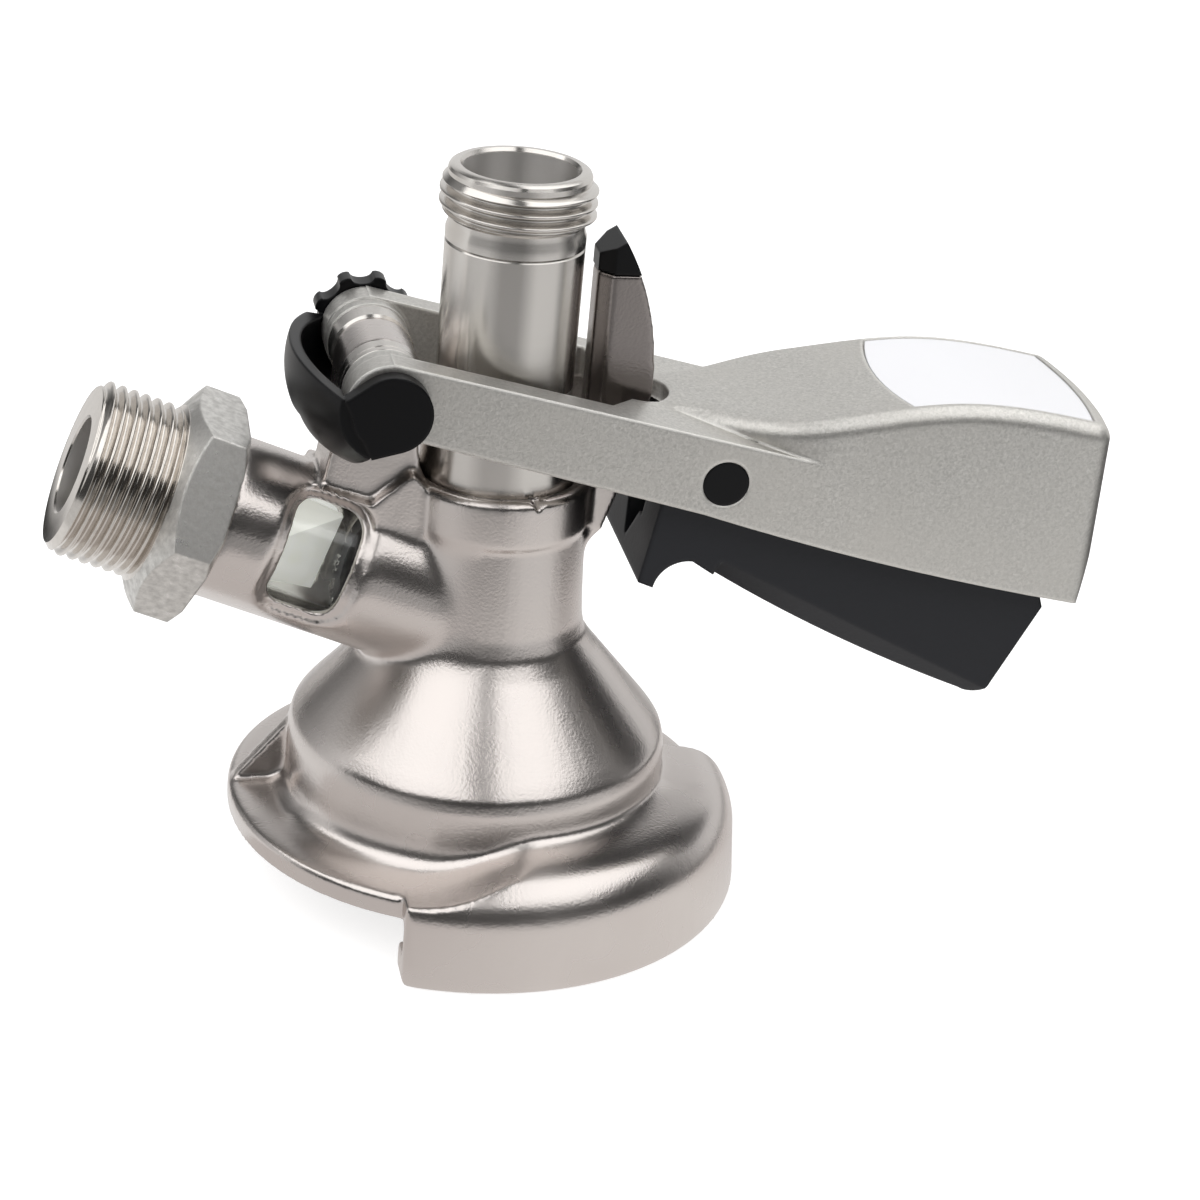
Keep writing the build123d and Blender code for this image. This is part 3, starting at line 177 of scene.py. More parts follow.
PANEL_HEIGHT = 1.0
PANEL_RADIANCE = 1.6
for name, low_x, high_x, low_y, high_y in (
        ("panel_left", -1.50, -0.15, -1.25, 0.52), ("panel_right", 0.08, 1.15, -1.25, 0.80)):
    lamp = bpy.data.lights.new(name, "AREA")
    lamp.shape, lamp.size, lamp.size_y = "RECTANGLE", high_x - low_x, high_y - low_y
    lamp.energy = PANEL_RADIANCE * pi * lamp.size * lamp.size_y
    panel = bpy.data.objects.new(name, lamp)
    panel.location = ((low_x + high_x) / 2, (low_y + high_y) / 2, PANEL_HEIGHT)
    bpy.context.scene.collection.objects.link(panel)

# Body. One investment casting in austenitic stainless steel: foot with its claw, cone, neck, gas arm,
# hinge lug and guide finger. Blasted after casting, so it is satin with a fine orange-peel skin.
# Its arm, finger and claw grow out of the turned forms in soft cast fillets.


def merged_copy(node, name, angle=32):
    """Welded copy of a CAD node, shaded smooth up to an edge angle."""
    mesh = frame["nodes"][node].data.copy()
    mesh.name = name
    mesh.materials.clear()
    work = bmesh.new()
    work.from_mesh(mesh)
    bmesh.ops.remove_doubles(work, verts=work.verts, dist=1e-6)
    work.to_mesh(mesh)
    work.free()
    if "custom_normal" in mesh.attributes:
        mesh.attributes.remove(mesh.attributes["custom_normal"])
    mesh.shade_smooth()
    mesh.set_sharp_from_angle(angle=radians(angle))
    piece = bpy.data.objects.new(name, mesh)
    bpy.context.scene.collection.objects.link(piece)
    return piece


def fit(piece, node, material):
    """Gives the piece its finish, puts it on the body of the CAD node it stands for, and hides that node."""
    piece.data.materials.clear()
    piece.data.materials.append(material)
    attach(piece, frame["nodes"][node]["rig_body"])
    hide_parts(node)


def settle(piece):
    """Applies the piece's modifiers to its mesh."""
    scene_now = bpy.context.evaluated_depsgraph_get()
    mesh = bpy.data.meshes.new_from_object(piece.evaluated_get(scene_now))
    piece.modifiers.clear()
    piece.data = mesh


def fade(value, zone):
    """Share from 0 at the zone's start to 1 at its width past that. A negative width runs downward."""
    start, width = zone
    return min(1, max(0, (value - start) / width))


CAST_GRID = 0.0004
CAST_ROUNDING = 9
FILLET_ROUNDING = 130
CAST_TRIANGLES = 190000

# Zones that get the cast fillets, each as its start and the width of its fade in millimetres. The arm's
# zone lies outside the neck, whose squared radius is NECK_SQUARE.
ARM_OUTER, ARM_INNER, ARM_LOW, ARM_HIGH = (-21.5, 3), (-3, -3), (31, 4), (60, -3)
FINGER_OUTER, FINGER_LOW, FINGER_HIGH = (11, 2), (44, 3), (58, -2)
CLAW_INNER, CLAW_OUTER, CLAW_LOW, CLAW_HIGH = (28.8, 1.2), (37.6, -2), (11.8, 0.6), (21, -2)
CLAW_FRONT = (-10, -3)
WINDOW_END, WINDOW_LOW = (-24, -3), 42
NECK_SQUARE = 150
ARM_SHARE, FINGER_SHARE, WINDOW_SHARE = 0.7, 0.7, 0.1

# The small V that is cut into the collar's front edge, with its angle round the neck.
NOTCH_ANGLE = radians(-73.5)
NOTCH_TOP, NOTCH_TIP, NOTCH_HALF, NOTCH_DEEP = 0.0667, 0.0648, 0.0013, 0.0009
NOTCH_WALL_R, NOTCH_SLOPE = 0.0128, 0.0004

body = merged_copy("body_casting", "cast_body")
remesh = body.modifiers.new("casting", "REMESH")
remesh.mode, remesh.voxel_size = "VOXEL", CAST_GRID
rounding = body.modifiers.new("rounding", "SMOOTH")
rounding.factor, rounding.iterations = 0.5, CAST_ROUNDING
settle(body)
soft = body.vertex_groups.new(name="cast_fillets")
for vertex in body.data.vertices:
    x, y, z = vertex.co * 1000
    from_axis = x * x + y * y
    at_arm = fade(x, ARM_OUTER) * fade(x, ARM_INNER) * fade(z, ARM_LOW) * fade(z, ARM_HIGH)
    at_arm *= from_axis > NECK_SQUARE
    at_finger = fade(x, FINGER_OUTER) * fade(z, FINGER_LOW) * fade(z, FINGER_HIGH)
    off_axis = from_axis ** 0.5
    at_claw = fade(off_axis, CLAW_INNER) * fade(off_axis, CLAW_OUTER)
    at_claw *= fade(z, CLAW_LOW) * fade(z, CLAW_HIGH) * fade(y, CLAW_FRONT)
    at_window = WINDOW_SHARE * fade(x, WINDOW_END) * (z > WINDOW_LOW)
    share = max(ARM_SHARE * at_arm, FINGER_SHARE * at_finger, at_claw, at_window)
    if share > 0:
        soft.add([vertex.index], share, "REPLACE")
    across = vertex.co.x * cos(NOTCH_ANGLE) + vertex.co.y * sin(NOTCH_ANGLE)
    aside = abs(vertex.co.y * cos(NOTCH_ANGLE) - vertex.co.x * sin(NOTCH_ANGLE))
    wide = NOTCH_HALF * (vertex.co.z - NOTCH_TIP) / (NOTCH_TOP - NOTCH_TIP)
    if across > NOTCH_WALL_R and aside < wide:
        deep = NOTCH_DEEP * min(1, (wide - aside) / NOTCH_SLOPE)
        vertex.co.x -= deep * cos(NOTCH_ANGLE)
        vertex.co.y -= deep * sin(NOTCH_ANGLE)
fillets = body.modifiers.new("fillets", "SMOOTH")
fillets.factor, fillets.iterations, fillets.vertex_group = 0.5, FILLET_ROUNDING, "cast_fillets"
settle(body)
body.data.shade_smooth()

# The casting is thinned for export, and takes its normals from a full copy so that its shine stays even.
fine = bpy.data.objects.new("fine_casting", body.data.copy())
bpy.context.scene.collection.objects.link(fine)
thinning = body.modifiers.new("thinning", "DECIMATE")
thinning.ratio = min(1, CAST_TRIANGLES / (2 * len(body.data.polygons)))
shading = body.modifiers.new("shading", "DATA_TRANSFER")
shading.object, shading.use_loop_data = fine, True
shading.data_types_loops, shading.loop_mapping = {"CUSTOM_NORMAL"}, "POLYINTERP_NEAREST"
settle(body)
bpy.data.objects.remove(fine)

# Satin steel, a little warm and uneven in its shine. The peel's real grain is about 0.2 mm, too fine to
# show, so it is drawn at 1 / 2300 m, 0.4 mm. The clouds are 11 mm wide. The upper part of the guide
# finger's outer side is painted a darker grey: painted shade from the lever above it.
cast_stainless, tree = finish_named("cast_stainless_satin")
where = add(tree, "ShaderNodeTexCoord")
peel = add(tree, "ShaderNodeTexNoise", {"Scale": 2300.0, "Detail": 1.0, "Roughness": 0.5},
           {"Vector": where.outputs["Object"]})
cloud = add(tree, "ShaderNodeTexNoise", {"Scale": 90.0, "Detail": 3.0}, {"Vector": where.outputs["Object"]})
shade = add(tree, "ShaderNodeMix", {6: tone("c9c2be"), 7: tone("d6d0cc")}, {0: cloud.outputs["Fac"]},
            data_type="RGBA")
# Painted shade: the guide finger's outer, upper side is mixed toward a darker grey.
spot = add(tree, "ShaderNodeSeparateXYZ", links={0: where.outputs["Object"]})
outward = add(tree, "ShaderNodeMapRange", {"From Min": 0.0085, "From Max": 0.0105},
              {"Value": spot.outputs["X"]})
upward = add(tree, "ShaderNodeMapRange", {"From Min": 0.064, "From Max": 0.072},
             {"Value": spot.outputs["Z"]})
finger = add(tree, "ShaderNodeMath", links={0: outward.outputs[0], 1: upward.outputs[0]},
             operation="MULTIPLY")
finger_shaded_colour = add(tree, "ShaderNodeMix", {7: tone("98918e")}, {0: finger.outputs[0], 6: shade.outputs[2]},
             data_type="RGBA")
sheen = add(tree, "ShaderNodeMapRange", {"From Min": 0.3, "From Max": 0.7, "To Min": 0.24, "To Max": 0.31},
            {"Value": cloud.outputs["Fac"]})
skin = add(tree, "ShaderNodeBump", {"Strength": 0.75, "Distance": 0.00003}, {"Height": peel.outputs["Fac"]})
steel = add(tree, "ShaderNodeBsdfPrincipled", {"Metallic": 1.0},
            {"Base Color": finger_shaded_colour.outputs[2], "Roughness": sheen.outputs[0], "Normal": skin.outputs[0]})
add(tree, "ShaderNodeOutputMaterial", links={"Surface": steel.outputs[0]})
fit(body, "body_casting", cast_stainless)

# Seals. Black nitrile rubber: the ring under the foot, the sleeve on the probe's tip, its O-ring and the
# washer in front of the sight glass. Moulded, so matt, with a faint grain drawn at 0.4 mm.
black_rubber, tree = finish_named("nitrile_rubber")
where = add(tree, "ShaderNodeTexCoord")
grain = add(tree, "ShaderNodeTexNoise", {"Scale": 2500.0}, {"Vector": where.outputs["Object"]})
skin = add(tree, "ShaderNodeBump", {"Strength": 0.2, "Distance": 0.00003}, {"Height": grain.outputs["Fac"]})
rubber = add(tree, "ShaderNodeBsdfPrincipled", {"Base Color": tone("17171a"), "Roughness": 0.55},
             {"Normal": skin.outputs[0]})
add(tree, "ShaderNodeOutputMaterial", links={"Surface": rubber.outputs[0]})
for node in ("base_seal", "probe_seal", "probe_o_ring", "sight_glass_seal"):
    fit(merged_copy(node, node + "_rubber"), node, black_rubber)

# Sight glass. A clear polysulfone tube clamped behind the arm's windows by the union. It is glossy and
# almost without colour, and it lets light through to the valve, so shadow and diffuse rays pass it.
clear_glass, tree = finish_named("clear_polysulfone")
path = add(tree, "ShaderNodeLightPath")
glass = add(tree, "ShaderNodeBsdfPrincipled",
            {"Base Color": tone("fbfdfb"), "Roughness": 0.02, "IOR": 1.45, "Transmission Weight": 1.0})
opening = add(tree, "ShaderNodeBsdfTransparent")
soft_light = add(tree, "ShaderNodeMath",
                 links={0: path.outputs["Is Shadow Ray"], 1: path.outputs["Is Diffuse Ray"]},
                 operation="MAXIMUM")
clear = add(tree, "ShaderNodeMixShader",
            links={0: soft_light.outputs[0], 1: glass.outputs[0], 2: opening.outputs[0]})
add(tree, "ShaderNodeOutputMaterial", links={"Surface": clear.outputs[0]})
fit(merged_copy("sight_glass", "sight_glass_tube"), "sight_glass", clear_glass)

# Gas check valve. A milky silicone duckbill: a flange clamped behind the glass and a faceted bill that
# points to the body, so gas comes in but no drink goes out. ARM_FRAME stands at the arm's axis, with z
# outward and lengths from where that axis crosses the probe's.
ARM_TILT, ARM_CROSS_Z = radians(20.3), 0.0431
ARM_FRAME = Matrix(((0, sin(ARM_TILT), -cos(ARM_TILT), 0), (-1, 0, 0, 0),
                    (0, cos(ARM_TILT), sin(ARM_TILT), ARM_CROSS_Z), (0, 0, 0, 1)))
BILL_R, BILL_ROOT, BILL_SKIRT, BILL_TIP = 0.0074, 0.0381, 0.0352, 0.0268
BILL_LIP, BILL_HALF = 0.0008, 0.0062
BILL_SIDES, BILL_TURN = 6, 0.35

# Milky white. Light from the opposite window shines through the thin rubber, more on what looks up, and
# is drawn as a faint glow.
milky_rubber, tree = finish_named("milky_silicone")
where = add(tree, "ShaderNodeTexCoord")
cloud = add(tree, "ShaderNodeTexNoise", {"Scale": 300.0}, {"Vector": where.outputs["Object"]})
shade = add(tree, "ShaderNodeMix", {6: tone("e2e2da"), 7: tone("f7f7f2")}, {0: cloud.outputs["Fac"]},
            data_type="RGBA")
facing = add(tree, "ShaderNodeSeparateXYZ", links={0: where.outputs["Normal"]})
through = add(tree, "ShaderNodeMapRange", {"From Min": -0.9, "From Max": 0.9, "To Min": 0.18, "To Max": 0.55},
              {"Value": facing.outputs["Z"]})
silicone = add(tree, "ShaderNodeBsdfPrincipled", {"Roughness": 0.3},
               {"Base Color": shade.outputs[2], "Emission Color": shade.outputs[2],
                "Emission Strength": through.outputs[0]})
add(tree, "ShaderNodeOutputMaterial", links={"Surface": silicone.outputs[0]})
flange = merged_copy("gas_check_valve", "valve_flange")
work = bmesh.new()
work.from_mesh(flange.data)
arm_axis = ARM_FRAME.to_3x3() @ Vector((0, 0, 1))
bmesh.ops.bisect_plane(work, geom=work.verts[:] + work.edges[:] + work.faces[:], clear_inner=True,
                       plane_co=ARM_FRAME @ Vector((0, 0, BILL_ROOT)), plane_no=arm_axis)
corners = []
for length in (BILL_ROOT, BILL_SKIRT):
    for side in range(BILL_SIDES):
        angle = 2 * pi * (side + BILL_TURN) / BILL_SIDES
        corners.append(Vector((BILL_R * cos(angle), BILL_R * sin(angle), length)))
for depth in (-BILL_LIP, BILL_LIP):
    for half in (-BILL_HALF, BILL_HALF):
        corners.append(Vector((depth, half, BILL_TIP)))
bill = [work.verts.new(ARM_FRAME @ corner) for corner in corners]
bmesh.ops.convex_hull(work, input=bill)
bmesh.ops.recalc_face_normals(work, faces=work.faces[:])
work.to_mesh(flange.data)
work.free()
flange.data.set_sharp_from_angle(angle=radians(12))
fit(flange, "gas_check_valve", milky_rubber)

# Gas union. Turned from stainless hexagon bar and screwed into the arm: the flats keep the mill's mottled
# grey skin, while the pipe thread, the face and the bore are cut and bright. Lengths run along the arm.
UNION_HEX_END, UNION_FACE, UNION_BORE_R = 0.0540, 0.0667, 0.00732
HEX_OVERLAP = 0.0001
THREAD_CREST, THREAD_DEPTH, THREAD_PITCH = 0.01322, 0.00116, 0.001814
THREAD_CHAMFER = 0.00126

# Edge break of the bore, and the sleeve that shows its bored skin, in millimetres.
BORE_BREAK, BORE_LOW = 0.25, 53.0
SLEEVE_OUT, SLEEVE_IN, SLEEVE_LOW = 0.15, 0.04, 53.2


def thread_tree():
    """Geometry Nodes tree that wraps a grid round an axis and waves it along a helix."""
    tree = bpy.data.node_groups.new("cut_thread", "GeometryNodeTree")
    for label in ("Crest Radius", "Depth", "Pitch", "Length", "Chamfer"):
        tree.interface.new_socket(name=label, in_out="INPUT", socket_type="NodeSocketFloat")
    tree.interface.new_socket(name="Finish", in_out="INPUT", socket_type="NodeSocketMaterial")
    tree.interface.new_socket(name="Geometry", in_out="OUTPUT", socket_type="NodeSocketGeometry")
    sizes = add(tree, "NodeGroupInput")
    grid = add(tree, "GeometryNodeMeshGrid",
               {"Size X": 1.0, "Size Y": 1.0, "Vertices X": 241, "Vertices Y": 121})
    spot = add(tree, "GeometryNodeInputPosition")
    split = add(tree, "ShaderNodeSeparateXYZ", links={0: spot.outputs[0]})
    turn = add(tree, "ShaderNodeMath", {1: 0.5}, {0: split.outputs["X"]}, operation="ADD")
    share = add(tree, "ShaderNodeMath", {1: 0.5}, {0: split.outputs["Y"]}, operation="ADD")
    angle = add(tree, "ShaderNodeMath", {1: 2 * pi}, {0: turn.outputs[0]}, operation="MULTIPLY")
    along = add(tree, "ShaderNodeMath", links={0: share.outputs[0], 1: sizes.outputs["Length"]},
                operation="MULTIPLY")
    turns = add(tree, "ShaderNodeMath", links={0: along.outputs[0], 1: sizes.outputs["Pitch"]},
                operation="DIVIDE")
    helix = add(tree, "ShaderNodeMath", links={0: turns.outputs[0], 1: turn.outputs[0]}, operation="ADD")
    flank = add(tree, "ShaderNodeMath", {1: 0.5}, {0: helix.outputs[0]}, operation="PINGPONG")
    form = add(tree, "ShaderNodeMapRange", {"From Min": 0.05, "From Max": 0.45}, {"Value": flank.outputs[0]},
               interpolation_type="SMOOTHSTEP")
    root = add(tree, "ShaderNodeMath", links={0: sizes.outputs["Crest Radius"], 1: sizes.outputs["Depth"]},
               operation="SUBTRACT")
    ridge = add(tree, "ShaderNodeMath",
                links={0: form.outputs[0], 1: sizes.outputs["Depth"], 2: root.outputs[0]},
                operation="MULTIPLY_ADD")
    left = add(tree, "ShaderNodeMath", links={0: sizes.outputs["Length"], 1: along.outputs[0]},
               operation="SUBTRACT")
    lead = add(tree, "ShaderNodeMath", links={0: left.outputs[0], 1: sizes.outputs["Chamfer"]},
               operation="SUBTRACT")
    cone = add(tree, "ShaderNodeMath", links={0: lead.outputs[0], 1: sizes.outputs["Crest Radius"]},
               operation="ADD")
    start = add(tree, "ShaderNodeMath", {1: 1.5}, {0: along.outputs[0], 2: root.outputs[0]},
                operation="MULTIPLY_ADD")
    capped = add(tree, "ShaderNodeMath", links={0: ridge.outputs[0], 1: cone.outputs[0]}, operation="MINIMUM")
    radius = add(tree, "ShaderNodeMath", links={0: capped.outputs[0], 1: start.outputs[0]},
                 operation="MINIMUM")
    cosine = add(tree, "ShaderNodeMath", links={0: angle.outputs[0]}, operation="COSINE")
    sine = add(tree, "ShaderNodeMath", links={0: angle.outputs[0]}, operation="SINE")
    x = add(tree, "ShaderNodeMath", links={0: cosine.outputs[0], 1: radius.outputs[0]}, operation="MULTIPLY")
    y = add(tree, "ShaderNodeMath", links={0: sine.outputs[0], 1: radius.outputs[0]}, operation="MULTIPLY")
    wrapped = add(tree, "ShaderNodeCombineXYZ", links={0: x.outputs[0], 1: y.outputs[0], 2: along.outputs[0]})
    moved = add(tree, "GeometryNodeSetPosition",
                links={"Geometry": grid.outputs["Mesh"], "Position": wrapped.outputs[0]})
    closed = add(tree, "GeometryNodeMergeByDistance", {"Distance": 1e-6}, {"Geometry": moved.outputs[0]})
    smooth = add(tree, "GeometryNodeSetShadeSmooth", links={"Geometry": closed.outputs[0]})
    real = add(tree, "GeometryNodeRealizeInstances", links={"Geometry": smooth.outputs[0]})
    done = add(tree, "GeometryNodeSetMaterial",
               links={"Geometry": real.outputs[0], "Material": sizes.outputs["Finish"]})
    add(tree, "NodeGroupOutput", links={"Geometry": done.outputs[0]})
    return tree


def threaded(name, crest, depth, pitch, length, chamfer, finish, stand):
    """Thread surface of these sizes, placed by a matrix."""
    piece = bpy.data.objects.new(name, bpy.data.meshes.new(name))
    bpy.context.scene.collection.objects.link(piece)
    maker = piece.modifiers.new("thread", "NODES")
    maker.node_group = cut_thread
    wanted = {"Crest Radius": crest, "Depth": depth, "Pitch": pitch, "Length": length, "Chamfer": chamfer,
              "Finish": finish}
    for item in cut_thread.interface.items_tree:
        if item.in_out == "INPUT":
            maker[item.identifier] = wanted[item.name]
    settle(piece)
    piece.data.transform(stand)
    return piece


LATHE_STEPS = 144


def lathe(name, outline, stand):
    """Turned piece from a closed outline of (radius, length) in millimetres, placed by a matrix."""
    work = bmesh.new()
    rings = []
    for radius, length in outline:
        ring = []
        for step in range(LATHE_STEPS):
            turn = 2 * pi * step / LATHE_STEPS
            ring.append(work.verts.new((radius * cos(turn) / 1000, radius * sin(turn) / 1000, length / 1000)))
        rings.append(ring)
    for first, second in zip(rings, rings[1:] + rings[:1]):
        for step in range(LATHE_STEPS):
            after = (step + 1) % LATHE_STEPS
            work.faces.new((first[step], first[after], second[after], second[step]))
    bmesh.ops.recalc_face_normals(work, faces=work.faces[:])
    mesh = bpy.data.meshes.new(name)
    work.to_mesh(mesh)
    work.free()
    mesh.transform(stand)
    mesh.shade_smooth()
    mesh.set_sharp_from_angle(angle=radians(25))
    piece = bpy.data.objects.new(name, mesh)
    bpy.context.scene.collection.objects.link(piece)
    return piece


def joined(piece, *others):
    """Adds the other pieces' meshes to the piece's own, and deletes those pieces."""
    work = bmesh.new()
    work.from_mesh(piece.data)
    for other in others:
        work.from_mesh(other.data)
        bpy.data.objects.remove(other)
    work.to_mesh(piece.data)
    work.free()
    return piece


# The bar's rolled and pickled skin: grey patches of about 1.2 mm, some duller than others, with the
# hexagon's edges rounded off.
mill_stainless, tree = finish_named("mill_finish_stainless")
where = add(tree, "ShaderNodeTexCoord")
edge = add(tree, "ShaderNodeBevel", {"Radius": 0.0005}, samples=4)
cloud = add(tree, "ShaderNodeTexNoise", {"Scale": 800.0, "Detail": 4.0, "Roughness": 0.6},
            {"Vector": where.outputs["Object"]})
shade = add(tree, "ShaderNodeValToRGB", links={0: cloud.outputs["Fac"]},
            stops=((0.34, "c0beba"), (0.5, "d0ceca"), (0.64, "dddbd7")))
sheen = add(tree, "ShaderNodeMapRange", {"From Min": 0.3, "From Max": 0.7, "To Min": 0.42, "To Max": 0.26},
            {"Value": cloud.outputs["Fac"]})
skin = add(tree, "ShaderNodeBump", {"Strength": 0.5, "Distance": 0.00004},
           {"Height": cloud.outputs["Fac"], "Normal": edge.outputs[0]})
steel = add(tree, "ShaderNodeBsdfPrincipled", {"Metallic": 0.82},
            {"Base Color": shade.outputs["Color"], "Roughness": sheen.outputs[0], "Normal": skin.outputs[0]})
add(tree, "ShaderNodeOutputMaterial", links={"Surface": steel.outputs[0]})

# Threads cut with a die: bright, with sharp reflections and hardly any pattern.
cut_stainless, tree = finish_named("cut_stainless")
where = add(tree, "ShaderNodeTexCoord")
grain = add(tree, "ShaderNodeTexNoise", {"Scale": 900.0, "Detail": 3.0}, {"Vector": where.outputs["Object"]})
shade = add(tree, "ShaderNodeMix", {6: tone("c4bfb9"), 7: tone("dcd7d1")}, {0: grain.outputs["Fac"]},
            data_type="RGBA")
sheen = add(tree, "ShaderNodeMapRange", {"To Min": 0.13, "To Max": 0.17}, {"Value": grain.outputs["Fac"]})
steel = add(tree, "ShaderNodeBsdfPrincipled", {"Metallic": 1.0},
            {"Base Color": shade.outputs[2], "Roughness": sheen.outputs[0]})
add(tree, "ShaderNodeOutputMaterial", links={"Surface": steel.outputs[0]})

# Bored steel: the boring bar's rings spread the light across them, so the inside is an even pale grey.
bored_stainless, tree = finish_named("bored_stainless")
where = add(tree, "ShaderNodeTexCoord")
grain = add(tree, "ShaderNodeTexNoise", {"Scale": 1400.0, "Detail": 2.0}, {"Vector": where.outputs["Object"]})
round_axis = add(tree, "ShaderNodeTangent", direction_type="RADIAL", axis="Z")
sheen = add(tree, "ShaderNodeMapRange", {"To Min": 0.5, "To Max": 0.6}, {"Value": grain.outputs["Fac"]})
steel = add(tree, "ShaderNodeBsdfPrincipled",
            {"Metallic": 0.95, "Base Color": tone("d6d3d0"), "Anisotropic": 0.9,
             "Anisotropic Rotation": 0.25},
            {"Roughness": sheen.outputs[0], "Tangent": round_axis.outputs[0]})
add(tree, "ShaderNodeOutputMaterial", links={"Surface": steel.outputs[0]})

cut_thread = thread_tree()
hexagon = merged_copy("gas_union", "union_hexagon", angle=20)
work = bmesh.new()
work.from_mesh(hexagon.data)
bmesh.ops.bisect_plane(work, geom=work.verts[:] + work.edges[:] + work.faces[:], clear_outer=True,
                       plane_co=ARM_FRAME @ Vector((0, 0, UNION_HEX_END + HEX_OVERLAP)), plane_no=arm_axis)
work.to_mesh(hexagon.data)
work.free()
fit(hexagon, "gas_union", mill_stainless)
gas_thread = threaded("gas_thread", THREAD_CREST, THREAD_DEPTH, THREAD_PITCH, UNION_FACE - UNION_HEX_END,
                      THREAD_CHAMFER, cut_stainless, ARM_FRAME @ Matrix.Translation((0, 0, UNION_HEX_END)))
face_r = 1000 * (THREAD_CREST - THREAD_CHAMFER)
bore_r, face_l = 1000 * UNION_BORE_R, 1000 * UNION_FACE
gas_face = lathe("gas_face", (
    (face_r - 0.25, face_l - 0.6), (face_r, face_l - 0.02), (face_r - 0.15, face_l),
    (bore_r + BORE_BREAK, face_l), (bore_r, face_l - BORE_BREAK), (bore_r, BORE_LOW),
    (bore_r + 1.0, BORE_LOW)), ARM_FRAME)

# The thread runs out into a groove turned in front of the hexagon.
relief = lathe("thread_relief", (
    (11.6, 53.6), (13.6, 53.6), (13.6, 54.03), (12.2, 54.8), (11.6, 54.8)), ARM_FRAME)
fit(joined(gas_thread, gas_face, relief), "gas_union", cut_stainless)
union_bore = lathe("union_bore", (
    (bore_r - SLEEVE_IN, SLEEVE_LOW), (bore_r - SLEEVE_IN, face_l - 0.3),
    (bore_r + SLEEVE_OUT, face_l - 0.2), (bore_r + SLEEVE_OUT, SLEEVE_LOW)), ARM_FRAME)
fit(union_bore, "gas_union", bored_stainless)

# Probe and beer outlet. Bright stainless tube turned all over, with fine tool lines round its axis, and
# a fitting with a short pipe thread and a rounded lip screwed into its top.
OUTLET_CREST, OUTLET_PITCH, OUTLET_DEPTH = 0.011455, 0.001814, 0.00125
OUTLET_THREAD_LOW, OUTLET_THREAD_HIGH, OUTLET_CHAMFER = 0.1057, 0.1117, 0.0011

# Turned steel: long bright and dark streaks along the tube, as the tool's lines spread the light across
# them. The lines are 0.14 mm apart, 1 / (120 x 60) m, close to a real feed.
turned_stainless, tree = finish_named("turned_stainless")
where = add(tree, "ShaderNodeTexCoord")
round_axis = add(tree, "ShaderNodeTangent", direction_type="RADIAL", axis="Z")
along = add(tree, "ShaderNodeMapping", {"Scale": (1.0, 1.0, 60.0)}, {"Vector": where.outputs["Object"]})
lines = add(tree, "ShaderNodeTexNoise", {"Scale": 120.0, "Detail": 3.0}, {"Vector": along.outputs[0]})
skin = add(tree, "ShaderNodeBump", {"Strength": 0.12, "Distance": 0.00002}, {"Height": lines.outputs["Fac"]})
sheen = add(tree, "ShaderNodeMapRange", {"To Min": 0.19, "To Max": 0.28}, {"Value": lines.outputs["Fac"]})
steel = add(tree, "ShaderNodeBsdfPrincipled",
            {"Metallic": 1.0, "Base Color": tone("d6d2cd"), "Anisotropic": 0.8, "Anisotropic Rotation": 0.25},
            {"Roughness": sheen.outputs[0], "Normal": skin.outputs[0], "Tangent": round_axis.outputs[0]})
add(tree, "ShaderNodeOutputMaterial", links={"Surface": steel.outputs[0]})
outlet = lathe("beer_outlet", (
    (8.38, 96.5), (9.3, 96.5), (9.3, 101.9), (10.0, 101.9), (10.25, 102.15), (10.25, 103.5),
    (9.95, 104.4), (9.95, 105.4), (10.2, 105.7), (10.2, 111.2), (10.42, 111.5), (10.42, 112.3),
    (10.2, 112.75), (9.75, 113.02), (9.2, 113.1), (8.75, 113.1), (8.38, 112.6)), Matrix.Identity(4))
outlet_thread = threaded("outlet_thread", OUTLET_CREST, OUTLET_DEPTH, OUTLET_PITCH,
                         OUTLET_THREAD_HIGH - OUTLET_THREAD_LOW, OUTLET_CHAMFER, turned_stainless,
                         Matrix.Translation((0, 0, OUTLET_THREAD_LOW)))
fit(joined(outlet, outlet_thread), "outlet_fitting", turned_stainless)
outlet_bore = lathe("outlet_bore", (
    (8.34, 96.8), (8.34, 112.5), (8.45, 112.6), (8.45, 96.8)), Matrix.Identity(4))
fit(outlet_bore, "outlet_fitting", bored_stainless)
for node in ("probe_tube", "drive_pins", "trigger_pin"):
    fit(merged_copy(node, node + "_steel"), node, turned_stainless)

# Hinge. A stainless pin through the barrel and the fork's eyes, with a turned collar on each side of the
# barrel. The collars' edges are broken, and the front one has a groove.
HINGE_X, HINGE_Z = -0.019, 0.082
HINGE_FRAME = Matrix.Translation((HINGE_X, 0, HINGE_Z)) @ Matrix.Rotation(radians(90), 4, "X")
fit(merged_copy("hinge_pin", "hinge_pin_steel"), "hinge_pin", turned_stainless)
front_bush = lathe("hinge_bush_rings", (
    (3.0, 5.0), (5.8, 5.0), (6.2, 5.35), (6.2, 7.5), (5.95, 7.65), (5.95, 7.8), (6.2, 7.95), (6.2, 9.1),
    (5.9, 9.4), (3.0, 9.4)), HINGE_FRAME)
rear_bush = lathe("hinge_bush_rear", (
    (3.0, -5.0), (5.8, -5.0), (6.2, -5.35), (6.2, -9.1), (5.9, -9.4), (3.0, -9.4)), HINGE_FRAME)
fit(joined(front_bush, rear_bush), "hinge_bushes", turned_stainless)
